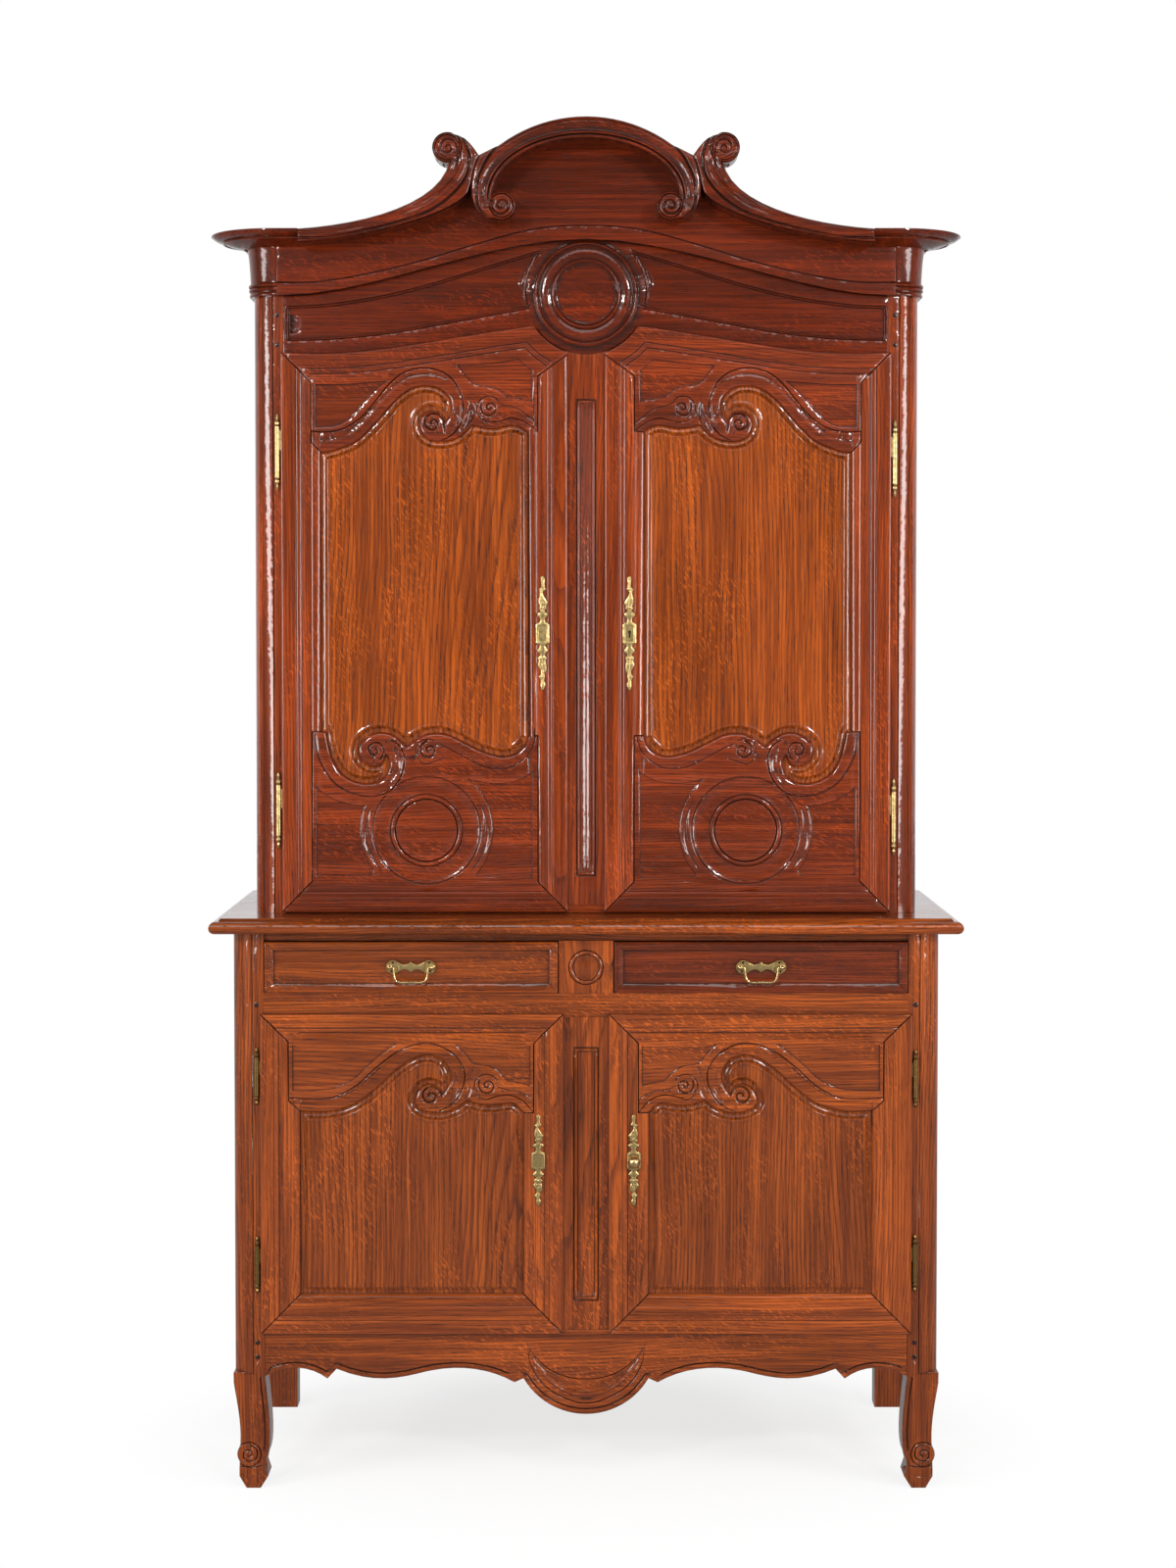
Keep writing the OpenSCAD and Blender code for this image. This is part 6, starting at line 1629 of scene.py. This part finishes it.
class Fittings:
    """Brass escutcheons, pulls and hinge collars, and the oak pegs."""

    plate: Profile = [(-106, 1.4), (-100, 3.6), (-94, 4.5), (-88, 3.2), (-81, 5.6), (-75, 3.4), (-70, 5), (-63, 7.2),
                      (-57, 8), (-51, 6.2), (-45.5, 8), (-40, 4), (-36, 7.5), (-32, 10), (-28, 8), (-23.5, 5)]
    plate_top: Profile = [(24, 4.8), (28, 4.5), (32, 8), (36, 10.5), (40, 7), (43, 3.6), (47, 7), (52, 6), (58, 8.5),
        (64, 7), (70, 4.6), (78, 3), (83, 6.4), (88, 3.4), (95, 3), (100, 3.6), (104, 3.6), (108, 1.2)]
    lean: Profile = [(-106, 0), (-94, 0.6), (-81, -1.4), (-70, 1.6), (-57, -1.2), (-40, 0), (43, 0), (58, 1.4),
        (68, -1.2), (78, -2.2), (88, 0.8), (100, 0.4), (108, 0)]

    # Half the drawn plate's height, the bosses' reach and offset and the barrels' radius, in millimetres
    plate_half = 107.5
    boss_reach = 8.0
    boss_offset = 38.5
    barrel_radius = 4.6
    collar: Profile = [(0, 4.4), (0.2, 4.9), (1.2, 5.05), (2.2, 4.9), (2.4, 4.4)]

    def __init__(self, makers: Makers) -> None:
        """Keeps the makers."""
        self.makers = makers
        self.brass = AGED_BRASS.build()

    def escutcheon(self, tier: str, side: str) -> None:
        """Carves one escutcheon and sets its nails."""
        node = f"{tier}_{side}_escutcheon"
        low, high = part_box(node)
        x, z = centre_of(node)
        front = low[1] / MM
        hand = 1 if side == "left" else -1
        k = (high[2] - low[2]) / 2 / MM / self.plate_half
        lean = np.array(self.lean).T

        def sway(height: float) -> float:
            """Tells how far the plate's middle leans sideways at a height."""
            return hand * np.interp(height, *lean)

        def edge(table: Profile, sign: int) -> Array:
            """Draws one side of the outline."""
            return smooth([(sign * half + sway(h), h * k) for h, half in table], 1.2) + (x, z)

        def stem(low_end: float, high_end: float) -> Array:
            """Draws a line along the plate's middle."""
            return smooth([(x + sway(h), z + h * k) for h in np.linspace(low_end, high_end, 9)], 1.0)

        block = [(5.5, 21), (9.6, 21), (10, 18.6), (12.4, 18)]
        right, left = (chain(edge(self.plate, s), [(x + s * a, z - b * k) for a, b in block],
            [(x + s * a, z + b * k) for a, b in block[::-1]], edge(self.plate_top, s)) for s in (1, -1))
        outline = closed(chain(right, left[::-1]))
        holes = Doors().extra_holes(tier, side)
        dome = edge_level(outline, [(0, -0.9), (0.5, -0.35), (1.4, 0.05), (3.2, 0.4), (6, 0.5)])
        middle = [(x + a, z + b * k) for a, b in ((-8.4, -16), (8.4, -16), (8.4, 12), (5, 16), (-5, 16), (-8.4, 12))]
        carves = [sunk(middle, 0.9, 0.8), groove(stem(46, 100), 0.8, 0.5), groove(stem(-98, -44), 0.8, 0.5)]
        for h, r in ((36, 5), (58, 3.6), (83, 3), (-32, 5), (-57, 3.6), (-81, 2.8)):
            carves.append(groove(ring((x + sway(h), z + h * k), r, 0.8), 0.7, 0.45))
        shell = bmesh.new()
        Relief(outline, front, high[1] / MM - front, carves, holes, dome, None, shifted(outline, 1.4), 4.0).build(shell)
        body = f"{tier}_{side}_door"
        finish_piece(f"{body}_pierced_escutcheon", shell, [self.brass], body, node)
        head = self.makers.turned([(0, 2.2), (0.5, 2.1), (0.9, 1.5), (1.05, 0.4)], 14)
        spots = [(x, front - 0.2, z + h * k) for h in (50, -46)]
        shell = self.makers.repeated(head, spots, self.brass, 0.6, 0.06, 5)
        finish_piece(f"{body}_escutcheon_nails", shell, [self.brass], body)

    def pull(self, side: str) -> None:
        """Builds a pull's pierced plate, its bosses and its bail."""
        node, bail, drawer = f"{side}_pull_plate", f"{side}_bail", f"{side}_drawer"
        plate, reach, knob_brass = 1.6, self.boss_reach, KNOB_BRASS.build()
        (x, z), back = centre_of(node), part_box(node)[1][1] / MM
        half = [smooth([(0, -9.7), (5, -6.2), (13, -4.4), (19, -6.4), (23.5, -9.4)], 1.0),
            bow((32.8, 0), 13, -134, 134, 1.0), smooth([(23.5, 9.4), (19, 7.0), (13, 5.2), (5, 6.6), (0, 10.3)], 1.0)]
        outline = closed(chain(*half, flip(chain(*half)))) + (x, z)
        discs = [closed(ring((x + s * 32.8, z), 13, 1.0)) for s in (-1, 1)]
        over = [(0, 10.2), (5, 6.4), (13, 5.0), (19, 7.4), (27, 11)]
        flank = [(27, 11), (24.6, 0), (24, -9)]
        under = [(24, -9), (19, -6.2), (13, -4.3), (5, -6), (0, -9.6)]
        tie = chain(*(smooth(part, 1.0) for part in (flip(over), over, flank, under, flip(under), flip(flank))))
        carves = [field_cut(closed(tie) + (x, z), [(0, 0.1), (0.5, 0.9), (2.0, 1.2), (5, 1.4)])]
        carves += [field_cut(disc, [(0, 0.2), (0.6, 0.9), (1.6, 1.0), (2.4, 0.2), (3, -0.2), (6, 0)]) for disc in discs]
        holes = [ring((x + s * a, z + b), 2.1, 0.8) for s in (-1, 1) for a, b in ((33.5, 8.2), (35.2, -7.4))]
        shell = bmesh.new()
        Relief(outline, back - plate, plate, carves, holes, pitch=4.0).build(shell)
        finish_piece(f"{side}_pierced_pull_plate", shell, [self.brass], drawer, node)
        head = [(-3.2, 2.5), (-2.4, 3.0), (-1.0, 3.6), (0, 3.8), (1.2, 3.6), (2.6, 2.8), (3.4, 1.6), (3.7, 0.3)]
        knob = self.makers.turned([(0, 4.4), (1.0, 4.2), (1.8, 2.8), *((reach + h, r) for h, r in head)])
        spots = [(x + s * self.boss_offset, back - 1.5, z) for s in (-1, 1)]
        shell = self.makers.repeated(knob, spots, knob_brass, 0, 0, 1)
        finish_piece(f"{side}_pull_bosses", shell, [knob_brass], drawer)
        # The right bail is bent a little narrower; its eyes sit in the bosses
        width = 1.0 if side == "left" else 0.96
        right = [(a * width if a < 33 else a, b) for a, b in (
            (0, -27), (19, -27), (24.6, -25.4), (28.4, -21.4), (30.4, -15.5), (31.2, -9), (31.6, -4), (32, -1.4),
            (33, -0.2), (35, 0))]
        line = smooth([(-a, b) for a, b in right[:0:-1]] + right, 1.2)
        path = np.stack([line[:, 0] + x, np.full(len(line), back - 1.5 - reach), line[:, 1] + z], 1)
        rod = [(2.2 * math.cos(t), 2.2 * math.sin(t)) for t in np.linspace(0, 2 * math.pi, 16, endpoint=False)]
        shell = self.makers.swept([path], rod, knob_brass, False)
        finish_piece(f"{side}_swinging_bail", shell, [knob_brass], bail, bail)

    def collars(self) -> None:
        """Sets turned collars on the hinge barrels: two by each door's leaves and two by the case's."""
        def set_on(spots: list[tuple[float, float, float]], name: str, body: str) -> None:
            """Sets a collar on each spot."""
            shell = self.makers.repeated(self.makers.turned(self.collar, along="z"), spots, brass)
            finish_piece(name, shell, [brass], body)

        # The lower collars take the darker brass: painted shade
        for tier, brass, half in (("upper", self.brass, 24), ("lower", LOWER_SHADED_BRASS.build(), 18.5)):
            case_spots = []
            for side, hand in (("left", -1), ("right", 1)):
                body = f"{tier}_{side}_door"
                low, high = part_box(f"{body}_hinges")
                # The barrel stands at the outer side of the door's leaves
                r = self.barrel_radius
                x = (low[0] / MM + r) if hand < 0 else (high[0] / MM - r)
                y = low[1] / MM + r
                tops = self.barrel_tops(f"{body}_hinges")
                set_on([(x, y, top + lift) for lift in (0.6, half - 4) for top in tops], f"{body}_hinge_collars", body)
                case_spots += [(x, y, top - drop) for drop in (3.2, half - 1.6) for top in tops]
            set_on(case_spots, f"{tier}_case_hinge_collars", f"{tier}_case")

    @staticmethod
    def barrel_tops(node: str) -> list[float]:
        """Finds the heights where a door's hinge barrels begin."""
        shell = node_copy(node)
        levels = sorted(v.co.z / MM for v in shell.verts)
        shell.free()
        middle = (levels[0] + levels[-1]) / 2
        return [levels[0], next(level for level in levels if level > middle)]

    def pegs(self) -> None:
        """Drives faceted oak pegs into the posts' joints."""
        for tier, y in (("lower", LOW_Y), ("upper", UP_Y)):
            node = f"{tier}_pegs"
            plug = self.makers.turned([(-26, 3.6), (-1, 4.7), (0.2, 4.6), (0.7, 3.6), (0.9, 0.6)], 7)
            spots = [(a, y, b) for a, b in (loop.mean(0) for loop in slice_loops(node, y + 6))]
            oak = PLUG_OAK.build(Grain.DEEP, 7)
            shell = self.makers.repeated(plug, spots, oak, 1.2, 0.10, 11)
            finish_piece(f"{tier}_faceted_pegs", shell, [oak], f"{tier}_case", node, angle=25)

    def build(self) -> None:
        """Builds every fitting."""
        sides = ("left", "right")
        for tier in ("upper", "lower"):
            for side in sides:
                self.escutcheon(tier, side)
        for side in sides:
            self.pull(side)
        self.collars()
        self.pegs()


# ---------------------------------------------------------------- studio
@dataclass
class Studio:
    """Floor, lamps, sky and camera."""

    eye: tuple[float, float, float] = (0.0, -5.406, 1.588)
    focal_px: float = 2864.0
    frame_px: tuple[int, int] = (1200, 1600)
    centre_px: float = 598.0
    pitch: float = 2.0
    horizon_px: float = 640.5
    floor_half: float = 14.0

    def camera(self) -> None:
        """Places the camera at the photograph's viewpoint."""
        data = bpy.data.cameras.new("camera")
        wide, tall = self.frame_px
        data.sensor_width = 36.0
        data.lens = self.focal_px / tall * data.sensor_width
        data.shift_x = (wide / 2 - self.centre_px) / tall
        level = tall / 2 - self.focal_px * math.tan(math.radians(self.pitch))
        data.shift_y = (self.horizon_px - level) / tall
        item = bpy.data.objects.new("camera", data)
        item.location = self.eye
        item.rotation_euler = (math.radians(90 - self.pitch), 0, 0)
        bpy.context.scene.collection.objects.link(item)
        bpy.context.scene.camera = item

    def floor(self) -> None:
        """Lays a pale floor that fades to white away from the buffet."""
        mesh = bpy.data.meshes.new("floor")
        half = self.floor_half
        mesh.from_pydata([(-half, -half, 0), (half, -half, 0), (half, half, 0), (-half, half, 0)], [], [(0, 1, 2, 3)])
        item = bpy.data.objects.new("floor", mesh)
        bpy.context.scene.collection.objects.link(item)
        material, n = open_material("pale_floor")
        place = n.add("ShaderNodeTexCoord").outputs["Object"]
        grain = n.noise(place, 60.0, 2.0)
        colour = n.mix(grain, (0.90, 0.90, 0.90, 1), (0.94, 0.94, 0.94, 1))
        matt = n.add("ShaderNodeBsdfPrincipled", {"Base Color": colour, "Roughness": 0.9, "Specular IOR Level": 0.1})
        flat = n.scaled(place, (1.0, 1.15, 0.0))
        away = n.add("ShaderNodeVectorMath", {0: flat}, operation="LENGTH").outputs["Value"]
        rays = n.add("ShaderNodeLightPath")
        mirrored = rays.outputs["Is Glossy Ray"]
        # Polished wood mirrors a dimmer floor than the camera sees
        power = n.math("MULTIPLY_ADD", mirrored, -0.65, 1.0)
        white = n.add("ShaderNodeEmission", {"Color": (1, 1, 1, 1), "Strength": power})
        seen = n.math("MAXIMUM", rays.outputs["Is Camera Ray"],
                      n.math("MAXIMUM", mirrored, rays.outputs["Is Transmission Ray"]))
        share = n.math("MAXIMUM", n.times(n.ramp(away, 0.42, 1.0, 0.72, 1.0), seen), mirrored)
        mixed = n.add("ShaderNodeMixShader", {0: share, 1: matt.outputs[0], 2: white.outputs[0]})
        n.add("ShaderNodeOutputMaterial", {0: mixed.outputs[0]})
        mesh.materials.append(material)

    def lamp(self, name: str, at: tuple[float, float, float], aim: tuple[float, float, float],
             size: tuple[float, float], watts: float) -> None:
        """Adds a rectangular soft lamp.

        Args:
            name: The lamp's name.
            at: Its place.
            aim: The point that it faces.
            size: Its width and height.
            watts: Its power.
        """
        data = bpy.data.lights.new(name, "AREA")
        data.shape = "RECTANGLE"
        data.size, data.size_y = size
        data.energy = watts
        item = bpy.data.objects.new(name, data)
        item.location = at
        item.rotation_euler = (Vector(aim) - Vector(at)).to_track_quat("-Z", "Z").to_euler()
        bpy.context.scene.collection.objects.link(item)

    def lights(self) -> None:
        """Sets two tall side boxes, two key lamps, a broad top fill and an even pale sky."""
        for side, name in ((-1, "left"), (1, "right")):
            self.lamp(f"{name}_box", (3.1 * side, -2.5, 1.7), (0, -0.2, 1.3), (0.7, 2.6), 100)
            self.lamp(f"{name}_key", (2.4 * side, -5.2, 3.3), (0, 0, 1.0), (0.6, 0.5), 100)
        self.lamp("front_fill", (0.0, -4.5, 4.8), (0, 0, 1.0), (3.8, 0.9), 50)
        world = bpy.data.worlds.new("sky")
        bpy.context.scene.world = world
        world.use_nodes = True
        n = Nodes(world.node_tree)
        rays = n.add("ShaderNodeLightPath")
        seen = n.math("MAXIMUM", rays.outputs["Is Camera Ray"], rays.outputs["Is Transmission Ray"])
        # Reflections see the white backdrop behind the buffet and a dimmer room in front of it
        way = n.add("ShaderNodeSeparateXYZ", {0: n.add("ShaderNodeTexCoord").outputs["Generated"]}).outputs["Y"]
        mirrored = n.times(rays.outputs["Is Glossy Ray"], n.ramp(way, -0.1, 0.35, 0.12, 1.0))
        even = n.times(rays.outputs["Is Diffuse Ray"], 0.32)
        strength = n.math("MAXIMUM", seen, n.math("MAXIMUM", mirrored, even))
        back = n.add("ShaderNodeBackground", {"Color": (1, 1, 1, 1), "Strength": strength})
        n.add("ShaderNodeOutputWorld", {0: back.outputs[0]})

    def build(self) -> None:
        """Sets up the whole studio."""
        self.camera()
        self.floor()
        self.lights()
        scene = bpy.context.scene
        scene.view_settings.view_transform = "Standard"


# ---------------------------------------------------------------- whole piece
LOOKS: dict[tuple[OakFinish, Grain], str] = {
    (LOWER_OAK, Grain.UPRIGHT): "lower_front_left_post lower_front_right_post lower_rear_posts drawer_divider "
                                "lower_mullion lower_left_door_frame lower_right_door_frame",
    (LOWER_OAK, Grain.ACROSS): "drawer_rails apron_rail lower_top left_drawer_front right_drawer_front",
    (LOWER_OAK, Grain.RAILS): "lower_rails",
    (LOWER_OAK, Grain.FLANK): "lower_side_panels",
    (UPPER_OAK, Grain.UPRIGHT): "upper_front_left_post upper_front_right_post upper_rear_posts upper_mullion "
                                "upper_left_door_frame upper_right_door_frame",
    (UPPER_OAK, Grain.ACROSS): "upper_floor_and_roof",
    (UPPER_OAK, Grain.RAILS): "upper_rails",
    (UPPER_OAK, Grain.FLANK): "upper_side_panels",
    (FRIEZE_OAK, Grain.ACROSS): "frieze_rail pediment_board pediment_scrolls",
    (FRIEZE_OAK, Grain.DEEP): "cornice_ends",
    (PANEL_OAK, Grain.UPRIGHT): "lower_left_door_panel lower_right_door_panel upper_left_door_panel "
                                "upper_right_door_panel",
    (PLUG_OAK, Grain.DEEP): "lower_pegs upper_pegs",
    (INSIDE_OAK, Grain.UPRIGHT): "lower_back_boards upper_back_boards locating_dowels lower_turn_button "
                                 "upper_turn_button",
    (INSIDE_OAK, Grain.ACROSS): "lower_floor_and_shelf upper_shelves",
    (INSIDE_OAK, Grain.DEEP): "drawer_runners left_drawer_box right_drawer_box",
}


def dress_frame() -> None:
    """Gives each carried-over node its finish."""
    oak_nodes = {name: look for look, names in LOOKS.items() for name in names.split()}
    for seed, (name, item) in enumerate(sorted(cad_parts.items())):
        if name in oak_nodes:
            finish, grain = oak_nodes[name]
            material = finish.build(grain, seed)
        elif name == "latch_knob":
            material = KNOB_BRASS.build()
        # The lower hinges take the darker brass: painted shade
        elif name.startswith("lower") and "hinge" in name:
            material = LOWER_SHADED_BRASS.build()
        else:
            material = AGED_BRASS.build()
        item.data.materials.clear()
        item.data.materials.append(material)
        log.info("dressed %s", name)


def main() -> None:
    """Builds the buffet's pieces in order."""
    logging.basicConfig(level=logging.INFO, format="%(message)s")
    Studio().build()
    dress_frame()
    Doors().build_all()
    upper = UpperFronts()
    upper.frieze()
    upper.board()
    upper.scrolls()
    upper_posts()
    lower = LowerFronts()
    lower.drawers()
    lower.apron()
    lower.mullions()
    lower.legs()
    lower.divider()
    makers = Makers()
    Cornice().build(makers)
    Fittings(makers).build()


if __name__ == "__main__":
    main()
